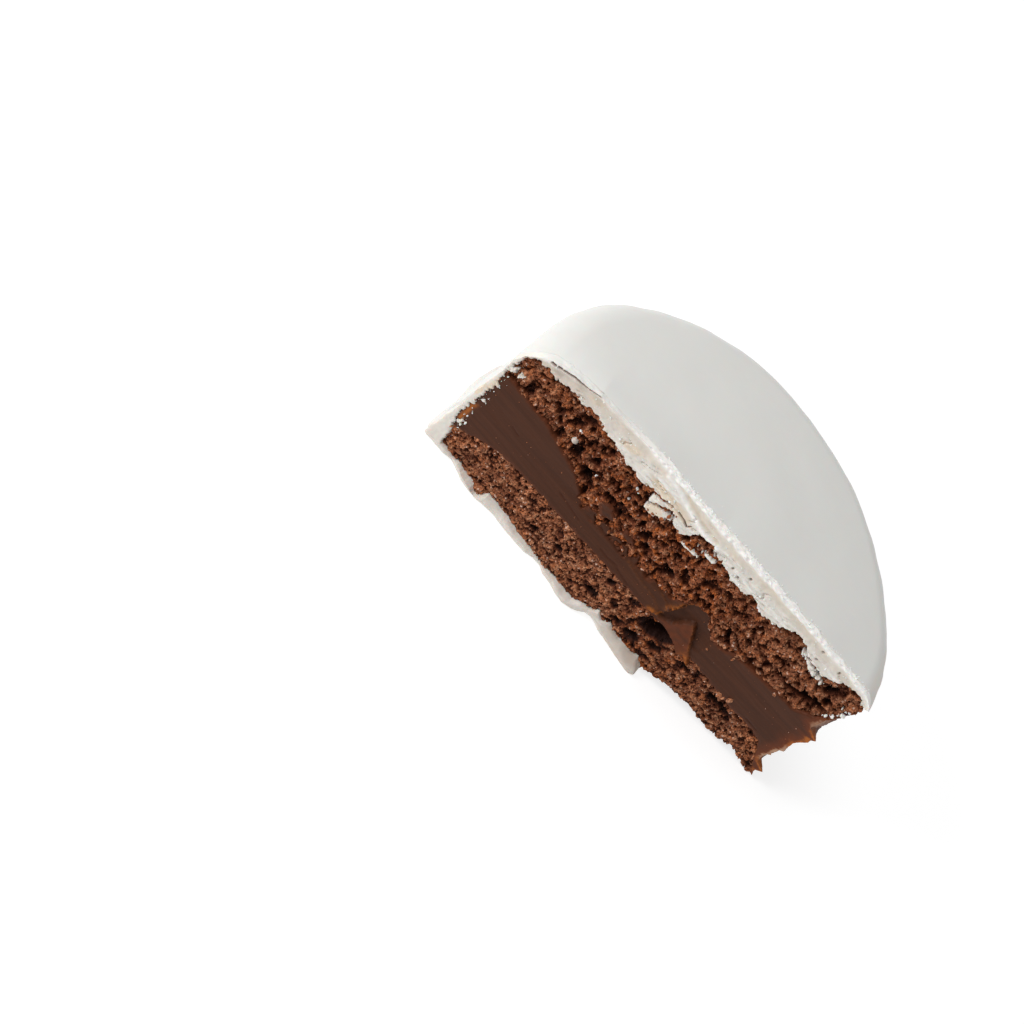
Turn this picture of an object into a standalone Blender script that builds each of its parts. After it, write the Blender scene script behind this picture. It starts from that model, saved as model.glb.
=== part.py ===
# Half of a round iced chocolate sandwich biscuit, cut straight across and resting on its flat base.
# Two crumbly cocoa biscuits hold a thick chocolate filling, and a coat of white icing covers all
# but the cut side, which faces -Y. Metres, +Z up. The origin is at the bottom centre of the
# half's bounding box.

from math import atan2, cos, degrees, exp, hypot, radians, sin

import bmesh
import bpy
import numpy as np
from mathutils import Vector, noise

MM = 0.001

# The whole disc, as if it were not cut.
DISC_RADIUS = 31.0 * MM         # over the iced wall
RIM_HEIGHT = 23.7 * MM          # where the top meets the rounded shoulder
CROWN_RISE = 0.9 * MM           # of the top's middle above the rim
SHOULDER_RADIUS = 4.2 * MM
FOOT_REACH = 1.5 * MM           # mean spread of the icing that pooled round the base
FOOT_HEIGHT = 2.4 * MM
FOOT_PROFILE = ((0.10, 1.0), (0.55, 0.72), (0.95, 0.45), (1.0, 0.15), (0.9, 0.0))  # reach, height
FOOT_WAVES = ((3.0, 0.35, 0.6), (7.0, 0.25, 2.0))   # number round the disc, share, phase
FOOT_AT_CUT = 0.25              # share of its spread that the foot keeps at the cut
TOP_SAG = 0.12 * MM             # slow waves of the poured top
TOP_SAG_WAVE = 9.0 * MM
WALL_DENT = 0.35 * MM           # slow dents of the wall
WALL_DENT_WAVE = 9.0 * MM

# The icing's inside, and the layers it holds.
CAVITY_RADIUS = 29.9 * MM
CAVITY_FLOOR = 1.3 * MM
CAVITY_CEILING = 22.3 * MM      # at the rim
CAVITY_CROWN = 0.5 * MM
INNER_SHOULDER = 2.6 * MM
INNER_BASE_EDGE = 1.2 * MM
LAYER_EDGE = 1.0 * MM           # rounding of the layers where they meet
WALL_TAPER = 1.1 * MM           # the layers' left side is this much narrower at the floor
TAPER_HEIGHT = 14.0 * MM        # and reaches its full radius at this height
GAP = 0.3 * MM                  # kept between neighbouring pieces

# Where the cut runs.
CUT_Y = -15.15 * MM             # the cut plane, in front of the origin
CENTRE_DEPTH = 1.0 * MM         # from the cut plane back to the disc's axis
CUT_BULGE = 2.6 * MM            # how far the lower middle of the cut side stands forward
BULGE_WIDTH = 17.0 * MM
BULGE_HEIGHT = 11.0 * MM
CUT_LEAN = 0.05                 # the upper part leans back this much per unit of height
LEAN_START = 14.0 * MM

# Fineness of the solids.
SPOKES = 60
RING_STEP = 3.0 * MM
BISCUIT_CELL = 0.78 * MM
FILLING_CELL = 1.1 * MM
ICING_CELL = 0.95 * MM
KNIFE_MARGIN = 4.0 * MM         # of each knife past the disc
KNIFE_THICKNESS = 6.0 * MM

# Radius of the disc against DISC_RADIUS, in mm, by angle in degrees from +X about its axis.
OUTLINE = ((0, -0.30), (10, 0.12), (22, -0.32), (44, -0.85), (60, -0.40), (89, -0.11),
           (102, 0.42), (117, 0.19), (132, 0.59), (141, 0.36), (150, 0.50), (158, 0.10),
           (167, -0.42), (180, -0.50))

# Heights along the cut, in mm, by distance in mm from its middle.
LOWER_BISCUIT_TOP = ((-29, 4.2), (-25, 6.1), (-22, 7.0), (-15, 7.3), (0, 7.4), (13, 6.8),
                     (18, 6.1), (24, 5.8), (29, 5.0))
UPPER_BISCUIT_BASE = ((-29, 16.4), (-22, 15.9), (-15, 13.8), (-12, 11.6), (-6, 11.0), (0, 11.0),
                      (5, 11.6), (8, 13.2), (11, 12.2), (14, 11.8), (18, 13.0), (24, 13.6),
                      (27, 14.8), (29, 16.0))
ICING_UNDERSIDE = ((-29, 21.4), (-20, 22.4), (-15, 21.7), (-10, 20.7), (-4, 20.3), (2, 21.6),
                   (8, 20.7), (13, 21.0), (18, 22.2), (22, 21.5), (27, 22.3), (29, 22.0))
ICING_LIFT = ((-31, -1.5), (-28, -1.0), (-25, -0.1), (-21, 0.8), (-12, 0.75), (-5, 0.4), (1, 0.0))
UNDERSIDE_FADE = 3.0 * MM       # depth over which the ragged underside settles
LIFT_FADE = 5.0 * MM            # depth over which the pushed-up top edge settles

# The icing that broke away at the right of the cut.
CHIP_START = 10.5 * MM          # along the base
BASE_CHIP_TOP = 2.4 * MM
BASE_CHIP_DEPTH = 2.2 * MM
BASE_CHIP_FADE = 1.2 * MM       # in height
CHIP_EDGE = 0.8 * MM            # width of the chip's edge along the base
WALL_CHIP_START = 28.0 * MM     # inner edge of the chip up the right-hand wall
WALL_CHIP_TOP = 19.0 * MM       # at that edge, and rising outwards
WALL_CHIP_RISE = 1.6
WALL_CHIP_DEPTH = 6.0 * MM
WALL_CHIP_WAVER = 1.8 * MM      # how much that depth wanders on its way up the wall
WALL_CHIP_WAVE = 3.5 * MM
WALL_CHIP_EDGE = 1.2 * MM
WALL_CHIP_EASE = 9.0 * MM       # height over which the chip deepens below its top
WALL_CHIP_ROUND = 0.6
LIP_AT = 8.6 * MM               # where the last of the base's icing curls forward
LIP_HALF_WIDTH = 2.6 * MM
LIP_REACH = 1.0 * MM

# Tear in the filling, right of the middle: a pocket with a curled flap standing over it.
POCKET_AT = (7.6 * MM, 9.6 * MM)
POCKET_SIZE = (2.4 * MM, 3.2 * MM)
POCKET_DEPTH = 1.3 * MM
FLAP = ((8.3, 11.2), (10.2, 10.6), (13.0, 5.6), (10.2, 6.4))    # corners, mm along and up the cut
FLAP_EDGE = 0.8                 # mm over which the flap rises from its outline
FLAP_RISE = 0.9 * MM

# Torn biscuit, wavelengths and depths in mm: grains, finer grains, and larger pits.
GRAIN_WAVE, GRAIN_DEPTH = 1.1, 0.32
FINE_WAVE, FINE_DEPTH = 0.55, 0.20
PIT_WAVE, PIT_DEPTH, PIT_SHARE = 2.3, 1.1, 0.16
DRAG_WAVE = 0.9 * MM            # of the knife's marks in the filling
DRAG_LENGTH = 9.0 * MM
DRAG_SLOPE = 0.12
DRAG_DEPTH = 0.08 * MM
EDGE_WAVE = 2.2 * MM            # of the brittle icing's broken edge
EDGE_DEPTH = 0.5 * MM

# Hollows in the crumb: (along the cut, height, half length, half height, depth, slope), mm.
UPPER_HOLLOWS = ((-20.5, 20.6, 1.6, 1.0, 1.3, 0.0), (-13.8, 15.6, 1.2, 2.0, 1.5, -0.6),
                 (-7.0, 14.6, 2.2, 0.9, 1.2, 0.0), (-1.5, 13.6, 2.4, 0.8, 1.3, -0.2),
                 (1.2, 17.0, 1.4, 1.5, 1.4, 0.2), (12.8, 13.4, 1.0, 1.4, 1.3, 0.0),
                 (23.5, 15.6, 4.2, 0.7, 1.6, 0.25), (17.0, 21.6, 1.8, 0.6, 1.0, 0.1),
                 (25.6, 19.4, 0.9, 0.9, 1.2, 0.0))
LOWER_HOLLOWS = ((7.2, 5.6, 2.3, 0.9, 2.2, 0.15), (5.6, 3.2, 1.1, 0.7, 1.4, 0.0),
                 (-8.7, 4.0, 0.9, 0.6, 1.2, 0.0), (-2.0, 3.5, 1.4, 0.6, 1.0, 0.1),
                 (19.0, 4.6, 2.0, 0.5, 1.0, 0.0))


# ---- shapes as functions ------------------------------------------------------------------

def along(position, knots):
    """Value in metres at a distance along the cut, from knots in mm."""
    return np.interp(position / MM, [knot[0] for knot in knots], [knot[1] for knot in knots]) * MM


def fade(amount):
    """0 below 0, 1 above 1, and smooth between."""
    amount = min(max(amount, 0.0), 1.0)
    return amount * amount * (3.0 - 2.0 * amount)


def outline(angle):
    """How far the disc stands off its mean radius at this angle about its axis."""
    return np.interp(degrees(angle) % 360.0, [knot[0] for knot in OUTLINE],
                     [knot[1] for knot in OUTLINE]) * MM


def foot_reach(angle):
    """Spread of the pooled icing at this angle, against its mean: wavy, and slight at the cut."""
    wave = 1.0 + sum(share * sin(number * angle + phase) for number, share, phase in FOOT_WAVES)
    behind = fade(sin(angle) * 2.2 - 0.15)
    return wave * (FOOT_AT_CUT + (1.0 - FOOT_AT_CUT) * behind)


def layer_height(x, y, knots):
    """A height known along the cut, carried round the disc: each side keeps its own profile."""
    radius = max(hypot(x, y), 1e-9)
    right_share = 0.5 + 0.5 * x / radius
    return along(-radius, knots) * (1.0 - right_share) + along(radius, knots) * right_share


def behind_cut(y):
    return y + CENTRE_DEPTH


def icing_top(x, y):
    """Height of the coat's top, which the knife pushed up along the left of the cut."""
    crown = CROWN_RISE * max(0.0, 1.0 - (hypot(x, y) / (DISC_RADIUS - SHOULDER_RADIUS)) ** 2)
    lift = along(x, ICING_LIFT) * exp(-(behind_cut(y) / LIFT_FADE) ** 2)
    sag = TOP_SAG * noise.noise(Vector((x, y, 0.0)) / TOP_SAG_WAVE)
    return RIM_HEIGHT + crown + lift + sag


def icing_underside(x, y):
    """Height of the coat's underside: ragged at the cut, a low dome further in."""
    dome = CAVITY_CEILING + CAVITY_CROWN * max(0.0, 1.0 - (hypot(x, y) / CAVITY_RADIUS) ** 2)
    raggedness = exp(-(behind_cut(y) / UNDERSIDE_FADE) ** 2)
    return dome + (along(x, ICING_UNDERSIDE) - dome) * raggedness


def filling_base(x, y):
    return layer_height(x, y, LOWER_BISCUIT_TOP)


def filling_top(x, y):
    return layer_height(x, y, UPPER_BISCUIT_BASE)


def cut_depth(x, z):
    """The knife's path: depth behind the cut plane, before any tearing."""
    bulge = CUT_BULGE * exp(-(x / BULGE_WIDTH) ** 2) * max(0.0, 1.0 - z / BULGE_HEIGHT)
    return CUT_LEAN * max(0.0, z - LEAN_START) - bulge


def hollows(x, z, places):
    """Depth of the torn-out hollows at a point of the cut."""
    depth = 0.0
    for across, height, half_length, half_height, deep, slope in places:
        dx = (x - across * MM) / (half_length * MM)
        dz = (z - height * MM - slope * (x - across * MM)) / (half_height * MM)
        depth += deep * MM * exp(-(dx * dx + dz * dz) ** 2)
    return depth


def crumb(x, z, coarse):
    """Relief of torn biscuit: grains and the pits between them, some larger where coarse."""
    here = Vector((x, 0.0, z)) / MM
    grains = GRAIN_DEPTH * noise.noise(here / GRAIN_WAVE) + FINE_DEPTH * noise.noise(here / FINE_WAVE)
    pits = PIT_DEPTH * max(0.0, noise.noise(here / PIT_WAVE + Vector((7.0, 3.0, 1.0))) - PIT_SHARE)
    return (grains + coarse * pits) * MM


def inside_flap(x, z):
    """Share of the flap's thickness at a point: 1 well inside its outline, 0 outside."""
    depth = hypot(*FLAP[0])         # further than any point inside
    for (ax, az), (bx, bz) in zip(FLAP, FLAP[1:] + FLAP[:1]):
        length = hypot(bx - ax, bz - az)
        depth = min(depth, ((bz - az) * (x / MM - ax) - (bx - ax) * (z / MM - az)) / length)
    return fade(depth / FLAP_EDGE)


# ---- the four knives ----------------------------------------------------------------------

def lower_biscuit_cut(x, z):
    return cut_depth(x, z) + crumb(x, z, 0.5) + hollows(x, z, LOWER_HOLLOWS)


def upper_biscuit_cut(x, z):
    return cut_depth(x, z) + crumb(x, z, 1.0) + hollows(x, z, UPPER_HOLLOWS)


def filling_cut(x, z):
    """A clean face with drag marks, torn open at the pocket and covered there by the flap."""
    across_drag = (z + DRAG_SLOPE * x) / DRAG_WAVE
    drag = DRAG_DEPTH * noise.noise(Vector((x / DRAG_LENGTH, 0.0, across_drag)))
    across = (x - POCKET_AT[0]) / POCKET_SIZE[0]
    height = (z - POCKET_AT[1]) / POCKET_SIZE[1]
    pocket = POCKET_DEPTH * exp(-(across * across + height * height) ** 2)
    flap = inside_flap(x, z)
    return cut_depth(x, z) + drag + pocket * (1.0 - flap) - FLAP_RISE * flap


def icing_cut(x, z):
    """A brittle edge, broken away along the right of the base and up the right-hand wall."""
    ragged = EDGE_DEPTH * noise.noise(Vector((x, 4.0 * MM, z)) / EDGE_WAVE)
    low = 1.0 - fade((z - BASE_CHIP_TOP) / BASE_CHIP_FADE)
    base_chip = BASE_CHIP_DEPTH * low * fade((x - CHIP_START) / CHIP_EDGE)
    past_edge = x - WALL_CHIP_START
    below_top = WALL_CHIP_TOP + WALL_CHIP_RISE * past_edge - z
    deep = WALL_CHIP_DEPTH + WALL_CHIP_WAVER * noise.noise(Vector((0.3, 0.7, z / WALL_CHIP_WAVE)))
    wall_chip = deep * fade(past_edge / WALL_CHIP_EDGE)
    wall_chip *= fade(below_top / WALL_CHIP_EASE) ** WALL_CHIP_ROUND
    lip = LIP_REACH * low * exp(-((x - LIP_AT) / LIP_HALF_WIDTH) ** 4)
    return cut_depth(x, z) + ragged - lip + max(base_chip, wall_chip)


# ---- making and bending meshes ------------------------------------------------------------

def clear_scene():
    for old in list(bpy.data.objects):
        bpy.data.objects.remove(old, do_unlink=True)


def new_collection(name):
    collection = bpy.data.collections.new(name)
    bpy.context.scene.collection.children.link(collection)
    return collection


def new_material(name, colour, roughness):
    material = bpy.data.materials.new(name)
    material.use_nodes = True
    shader = material.node_tree.nodes["Principled BSDF"]
    shader.inputs["Base Color"].default_value = (*colour, 1.0)
    shader.inputs["Roughness"].default_value = roughness
    shader.inputs["Metallic"].default_value = 0.0
    return material


def ring_radii(outermost):
    """Radii of the rings on a flat face, close enough to carry the layers' waves."""
    return [ring * RING_STEP for ring in range(1, int(outermost / RING_STEP) + 1)
            if ring * RING_STEP < outermost - 0.4 * RING_STEP]


def arc(centre_radius, centre_height, radius, start, end, steps):
    """Profile points on an arc, by angle in degrees from the outward direction."""
    angles = [radians(start + (end - start) * step / steps) for step in range(steps + 1)]
    return [(centre_radius + radius * cos(a), centre_height + radius * sin(a)) for a in angles]


def disc_profile(radius, low, high, top_edge, base_edge, flat_base=False):
    """Profile of a disc with rounded edges, from the middle of its top to that of its base."""
    flat = ring_radii(radius - top_edge)
    below = [] if flat_base else ring_radii(radius - base_edge)
    return ([(0.0, high)] + [(ring, high) for ring in flat]
            + arc(radius - top_edge, high - top_edge, top_edge, 90, 0, 3)
            + arc(radius - base_edge, low + base_edge, base_edge, 0, -90, 2)
            + [(ring, low) for ring in reversed(below)] + [(0.0, low)])


def icing_profile():
    """Outer profile of the coat: flat top, round shoulder, wall, and the pooled foot."""
    shoulder = DISC_RADIUS - SHOULDER_RADIUS
    top = [(ring, RIM_HEIGHT) for ring in ring_radii(shoulder)[1::2]]
    wall = [(DISC_RADIUS, height * MM) for height in (15.5, 11.5, 7.5, 4.5)]
    foot = [(DISC_RADIUS + FOOT_REACH * reach, FOOT_HEIGHT * rise) for reach, rise in FOOT_PROFILE]
    base = [(ring, 0.0) for ring in (26.0 * MM, 15.0 * MM)]
    return ([(0.0, RIM_HEIGHT)] + top
            + arc(shoulder, RIM_HEIGHT - SHOULDER_RADIUS, SHOULDER_RADIUS, 90, 0, 5)
            + wall + foot + base + [(0.0, 0.0)])


def settled(piece):
    """Mesh of a piece as its modifiers leave it."""
    return bpy.data.meshes.new_from_object(
        piece.evaluated_get(bpy.context.evaluated_depsgraph_get()))


def turned(name, profile, collection):
    """Object turned from a profile about the disc's axis, as a plain mesh."""
    mesh = bpy.data.meshes.new(name + "_profile")
    mesh.from_pydata([(r, 0.0, z) for r, z in profile],
                     [(i, i + 1) for i in range(len(profile) - 1)], [])
    guide = bpy.data.objects.new(name + "_profile", mesh)
    collection.objects.link(guide)
    screw = guide.modifiers.new("Turn", "SCREW")
    screw.steps = SPOKES
    screw.render_steps = SPOKES
    screw.use_merge_vertices = True
    screw.merge_threshold = 0.005 * MM
    solid = settled(guide)
    bpy.data.objects.remove(guide, do_unlink=True)
    solid.name = name
    piece = bpy.data.objects.new(name, solid)
    piece.location = (0.0, CUT_Y + CENTRE_DEPTH, 0.0)
    collection.objects.link(piece)
    return piece


def fit_layer(piece, low, high, base, top):
    """Stretch a disc between two surfaces, and give it the alfajor's uneven outline and taper."""
    for vertex in piece.data.vertices:
        x, y, z = vertex.co
        share = (z - low) / (high - low)
        floor = base(x, y)
        height = floor + share * (top(x, y) - floor)
        left_share = 0.5 - 0.5 * x / max(hypot(x, y), 1e-9)
        taper = WALL_TAPER * left_share * max(0.0, 1.0 - height / TAPER_HEIGHT)
        grow = 1.0 + (outline(atan2(y, x)) - taper) / DISC_RADIUS
        vertex.co = (x * grow, y * grow, height)


def fit_icing(piece):
    """Give the coat its domed top, uneven outline, soft dents and wavy foot."""
    for vertex in piece.data.vertices:
        x, y, z = vertex.co
        radius = hypot(x, y)
        angle = atan2(y, x)
        height = z / RIM_HEIGHT * icing_top(x, y)
        at_wall = min(radius / DISC_RADIUS, 1.0) ** 4
        on_wall = Vector((DISC_RADIUS * cos(angle), DISC_RADIUS * sin(angle), z))
        dent = WALL_DENT * noise.noise(on_wall / WALL_DENT_WAVE)
        past_wall = max(0.0, radius - DISC_RADIUS)
        wall = (radius - past_wall) * (1.0 + outline(angle) / DISC_RADIUS) + dent * at_wall
        grow = (wall + past_wall * foot_reach(angle)) / max(radius, 1e-9)
        vertex.co = (x * grow, y * grow, height)


def knife(name, cell, depth_at, collection):
    """Block in front of the cut, whose back face is the cut surface of one piece."""
    half_width = DISC_RADIUS + KNIFE_MARGIN
    low, high = -KNIFE_MARGIN, RIM_HEIGHT + KNIFE_MARGIN
    columns = round(2.0 * half_width / cell)
    rows = round((high - low) / cell)
    form = bmesh.new()
    bmesh.ops.create_grid(form, x_segments=columns, y_segments=rows, size=1.0)
    for vertex in form.verts:
        x = vertex.co.x * half_width
        z = low + (vertex.co.y + 1.0) * 0.5 * (high - low)
        vertex.co = (x, depth_at(x, z), z)
    bmesh.ops.triangulate(form, faces=form.faces[:])
    rim = [edge for edge in form.edges if edge.is_boundary]
    skirt = bmesh.ops.extrude_edge_only(form, edges=rim)["geom"]
    for vertex in (item for item in skirt if isinstance(item, bmesh.types.BMVert)):
        vertex.co.y = -KNIFE_THICKNESS - DISC_RADIUS
    front = [item for item in skirt if isinstance(item, bmesh.types.BMEdge) and item.is_boundary]
    bmesh.ops.contextual_create(form, geom=front)
    bmesh.ops.recalc_face_normals(form, faces=form.faces[:])
    mesh = bpy.data.meshes.new(name)
    form.to_mesh(mesh)
    form.free()
    cutter = bpy.data.objects.new(name, mesh)
    cutter.location = (0.0, CUT_Y, 0.0)
    collection.objects.link(cutter)
    hide_cutter(cutter)
    return cutter


def hide_cutter(cutter):
    cutter.hide_render = True
    cutter.display_type = "WIRE"


def subtract(piece, cutter):
    boolean = piece.modifiers.new("Cut by " + cutter.name, "BOOLEAN")
    boolean.operation = "DIFFERENCE"
    boolean.solver = "EXACT"
    boolean.object = cutter


def drop_scraps(piece):
    """Apply the cuts, and keep only the largest body: torn relief can leave loose scraps."""
    form = bmesh.new()
    form.from_mesh(settled(piece))
    unseen = set(form.verts)
    bodies = []
    while unseen:
        body, front = set(), [unseen.pop()]
        while front:
            vertex = front.pop()
            body.add(vertex)
            linked = {edge.other_vert(vertex) for edge in vertex.link_edges} & unseen
            unseen -= linked
            front.extend(linked)
        bodies.append(body)
    bodies.sort(key=len)
    scraps = [vertex for body in bodies[:-1] for vertex in body]
    bmesh.ops.delete(form, geom=scraps, context="VERTS")
    piece.modifiers.clear()
    form.to_mesh(piece.data)
    form.free()


def dress(piece, material):
    piece.data.materials.clear()
    piece.data.materials.append(material)
    piece.data.shade_smooth()
    piece.data.set_sharp_from_angle(angle=radians(35.0))


# ---- the pieces ---------------------------------------------------------------------------

def make_layer(name, radius, edges, surfaces, cell, depth_at, collections):
    """One layer inside the coat: a disc between two surfaces, cut by its own knife."""
    parts, cutters = collections
    base, top = surfaces
    low, high = base(0.0, radius), top(0.0, radius)
    piece = turned(name, disc_profile(radius, low, high, *edges), parts)
    fit_layer(piece, low, high, base, top)
    subtract(piece, knife(name + "_knife", cell, depth_at, cutters))
    return piece


def make_icing(collections):
    """The coat: the outer form, hollowed for the layers and cut by its own knife."""
    parts, cutters = collections
    coat = turned("icing_coat", icing_profile(), parts)
    fit_icing(coat)
    cavity = turned("cavity", disc_profile(CAVITY_RADIUS, CAVITY_FLOOR, CAVITY_CEILING,
                                           INNER_SHOULDER, INNER_BASE_EDGE, flat_base=True),
                    cutters)
    fit_layer(cavity, CAVITY_FLOOR, CAVITY_CEILING, lambda x, y: CAVITY_FLOOR, icing_underside)
    hide_cutter(cavity)
    subtract(coat, cavity)
    subtract(coat, knife("icing_knife", ICING_CELL, icing_cut, cutters))
    return coat


def build():
    clear_scene()
    collections = (new_collection("half_alfajor"), new_collection("cutters"))
    cocoa = new_material("cocoa_biscuit", (0.13, 0.055, 0.032), 0.9)
    chocolate = new_material("chocolate_filling", (0.075, 0.032, 0.02), 0.45)
    sugar = new_material("white_icing", (0.80, 0.79, 0.76), 0.4)

    layer_radius = CAVITY_RADIUS - GAP
    lower = make_layer("biscuit_bottom", layer_radius, (LAYER_EDGE, INNER_BASE_EDGE, True),
                       (lambda x, y: CAVITY_FLOOR + GAP,
                        lambda x, y: filling_base(x, y) - 0.5 * GAP),
                       BISCUIT_CELL, lower_biscuit_cut, collections)
    filling = make_layer("filling", layer_radius - GAP, (LAYER_EDGE, LAYER_EDGE),
                         (lambda x, y: filling_base(x, y) + 0.5 * GAP,
                          lambda x, y: filling_top(x, y) - 0.5 * GAP),
                         FILLING_CELL, filling_cut, collections)
    upper = make_layer("biscuit_top", layer_radius, (INNER_SHOULDER, LAYER_EDGE),
                       (lambda x, y: filling_top(x, y) + 0.5 * GAP,
                        lambda x, y: icing_underside(x, y) - GAP),
                       BISCUIT_CELL, upper_biscuit_cut, collections)
    coat = make_icing(collections)

    for piece, material in ((lower, cocoa), (upper, cocoa), (filling, chocolate), (coat, sugar)):
        drop_scraps(piece)
        dress(piece, material)


build()
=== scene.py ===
import math
from random import Random

import bmesh
import bpy
import numpy as np
from mathutils import Matrix, Vector, noise

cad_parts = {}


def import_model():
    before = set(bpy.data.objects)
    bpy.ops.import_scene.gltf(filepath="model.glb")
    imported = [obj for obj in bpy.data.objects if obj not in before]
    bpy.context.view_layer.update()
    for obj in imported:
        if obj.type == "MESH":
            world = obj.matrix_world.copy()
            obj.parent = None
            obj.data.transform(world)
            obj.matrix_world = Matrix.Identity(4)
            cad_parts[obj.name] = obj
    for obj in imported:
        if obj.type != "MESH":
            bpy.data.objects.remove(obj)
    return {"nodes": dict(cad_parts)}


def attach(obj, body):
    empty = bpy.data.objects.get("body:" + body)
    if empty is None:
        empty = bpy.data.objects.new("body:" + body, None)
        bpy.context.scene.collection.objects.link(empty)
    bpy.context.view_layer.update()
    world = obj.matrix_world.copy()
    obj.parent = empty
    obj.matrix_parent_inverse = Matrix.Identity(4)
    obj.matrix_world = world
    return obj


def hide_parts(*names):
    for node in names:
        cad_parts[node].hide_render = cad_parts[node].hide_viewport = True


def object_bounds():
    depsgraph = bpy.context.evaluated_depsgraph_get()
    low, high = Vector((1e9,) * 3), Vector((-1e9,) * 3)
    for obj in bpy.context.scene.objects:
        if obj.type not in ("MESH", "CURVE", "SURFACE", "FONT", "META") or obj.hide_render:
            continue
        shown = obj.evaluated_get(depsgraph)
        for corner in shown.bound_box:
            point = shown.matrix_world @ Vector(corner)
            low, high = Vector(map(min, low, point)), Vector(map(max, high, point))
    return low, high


# Half of an iced chocolate alfajor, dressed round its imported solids.
# Shapes are worked out in millimetres: x along the cut, y back from the cut plane, z up from the base.

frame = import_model()
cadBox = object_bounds()
mm = 0.001
print("frame loaded:", sorted(frame["nodes"]))


# Camera, floor and light.

shot = {
    "azimuth": -10.74,              # degrees, round the cut side
    "elevation": 44.25,
    "roll": 54.19,                  # the half is seen leaning, so the camera leans
    "focalPixels": 2000.0,
    "distance": 251.57,             # mm, to the point looked at
    "lookedAt": (0.0, 8.0, 10.0),
    "seenAt": (664.44, 538.66),     # pixel of the image where that point shows
    "imageSize": 1024.0,
    "sensor": 36.0,
}
cutPlane = -15.15                   # mm, from the origin to the cut


def cameraAxes():                   # right, up and back of the leaning camera
    a, e, roll = (math.radians(shot[name]) for name in ("azimuth", "elevation", "roll"))
    back = Vector((math.sin(a) * math.cos(e), -math.cos(a) * math.cos(e), math.sin(e)))
    level = Vector((math.cos(a), math.sin(a), 0.0))
    upright = back.cross(level)
    right = level * math.cos(roll) + upright * math.sin(roll)
    return right, back.cross(right), back


right, up, back = cameraAxes()


def makeCamera():
    data = bpy.data.cameras.new("camera")
    data.sensor_width = shot["sensor"]
    data.lens = shot["focalPixels"] / shot["imageSize"] * shot["sensor"]
    data.clip_start = 0.01
    middle = shot["imageSize"] / 2
    scale = shot["distance"] / shot["focalPixels"]
    across = (shot["seenAt"][0] - middle) * scale
    upwards = (middle - shot["seenAt"][1]) * scale
    target = Vector(shot["lookedAt"]) + Vector((0.0, cutPlane, 0.0))
    place = target - right * across - up * upwards + back * shot["distance"]
    camera = bpy.data.objects.new("camera", data)
    camera.matrix_world = Matrix.Translation(place * mm) @ Matrix((right, up, back)).transposed().to_4x4()
    bpy.context.scene.collection.objects.link(camera)
    bpy.context.scene.camera = camera


studio = {
    "worldGrey": 0.38,
    "floorTone": 0.34,
    "floorGlow": 0.76,
    "floorSize": 3.0,               # m
    "floorGap": 0.02,               # mm, below the part
    # direction in the image (right, up, towards the camera), distance m, size m, watts
    "key": ((-0.45, 0.55, 0.70), 0.30, 0.12, 0.40),
    "top": ((0.30, 0.70, 0.65), 0.60, 0.40, 1.45),
}


def makeLight(name):
    direction, distance, size, watts = studio[name]
    data = bpy.data.lights.new(name, "AREA")
    data.shape = "DISK"
    data.size = size
    data.energy = watts
    light = bpy.data.objects.new(name, data)
    towards = (right * direction[0] + up * direction[1] + back * direction[2]).normalized()
    middle = (cadBox[0] + cadBox[1]) / 2
    light.location = middle + towards * distance
    light.rotation_euler = towards.to_track_quat("Z", "Y").to_euler()
    bpy.context.scene.collection.objects.link(light)


def node(tree, kind, values=None, **settings):      # a node, its settings, and its inputs or links
    made = tree.nodes.new(kind)
    for name, value in settings.items():
        setattr(made, name, value)
    for name, value in (values or {}).items():
        socket = made.inputs[name]
        if isinstance(value, bpy.types.NodeSocket):
            tree.links.new(value, socket)
        else:
            socket.default_value = value
    return made


def calculate(tree, operation, *values, clamp=False):       # one number worked out from others
    made = node(tree, "ShaderNodeMath", dict(enumerate(values)), operation=operation, use_clamp=clamp)
    return made.outputs[0]


def vectorMath(tree, operation, first, second):     # one vector, or the dot product, worked out from two
    other = "Scale" if operation == "SCALE" else 1
    made = node(tree, "ShaderNodeVectorMath", {0: first, other: second}, operation=operation)
    return made.outputs["Value" if operation == "DOT_PRODUCT" else "Vector"]


def noiseAt(tree, place, scale, detail=2.0, output="Fac", **more):      # scale: waves a metre
    values = {"Vector": place, "Scale": scale, "Detail": detail, **more}
    return node(tree, "ShaderNodeTexNoise", values).outputs[output]


def cellsAt(tree, place, scale):
    return node(tree, "ShaderNodeTexVoronoi", {"Vector": place, "Scale": scale}).outputs


def ranged(tree, value, low, high, toLow=0.0, toHigh=1.0):      # a span of values stretched to another
    values = {"Value": value, "From Min": low, "From Max": high, "To Min": toLow, "To Max": toHigh}
    return node(tree, "ShaderNodeMapRange", values).outputs[0]


def bumped(tree, height, strength, distance, under=None, **settings):   # a bump, on top of another one
    values = {"Height": height, "Strength": strength, "Distance": distance}
    if under is not None:
        values["Normal"] = under
    return node(tree, "ShaderNodeBump", values, **settings).outputs[0]


def attributes(tree, *names):       # what the mesh stores at its points
    return [node(tree, "ShaderNodeAttribute", attribute_name=name).outputs["Fac"] for name in names]


def mixed(tree, share, first, second, blend="MIX"):      # one colour from two
    mix = node(tree, "ShaderNodeMix", {"Factor": share}, data_type="RGBA", blend_type=blend)
    for socket, value in ((mix.inputs[6], first), (mix.inputs[7], second)):
        if isinstance(value, bpy.types.NodeSocket):
            tree.links.new(value, socket)
        else:
            socket.default_value = (*value, 1.0)
    return mix.outputs[2]


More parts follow.
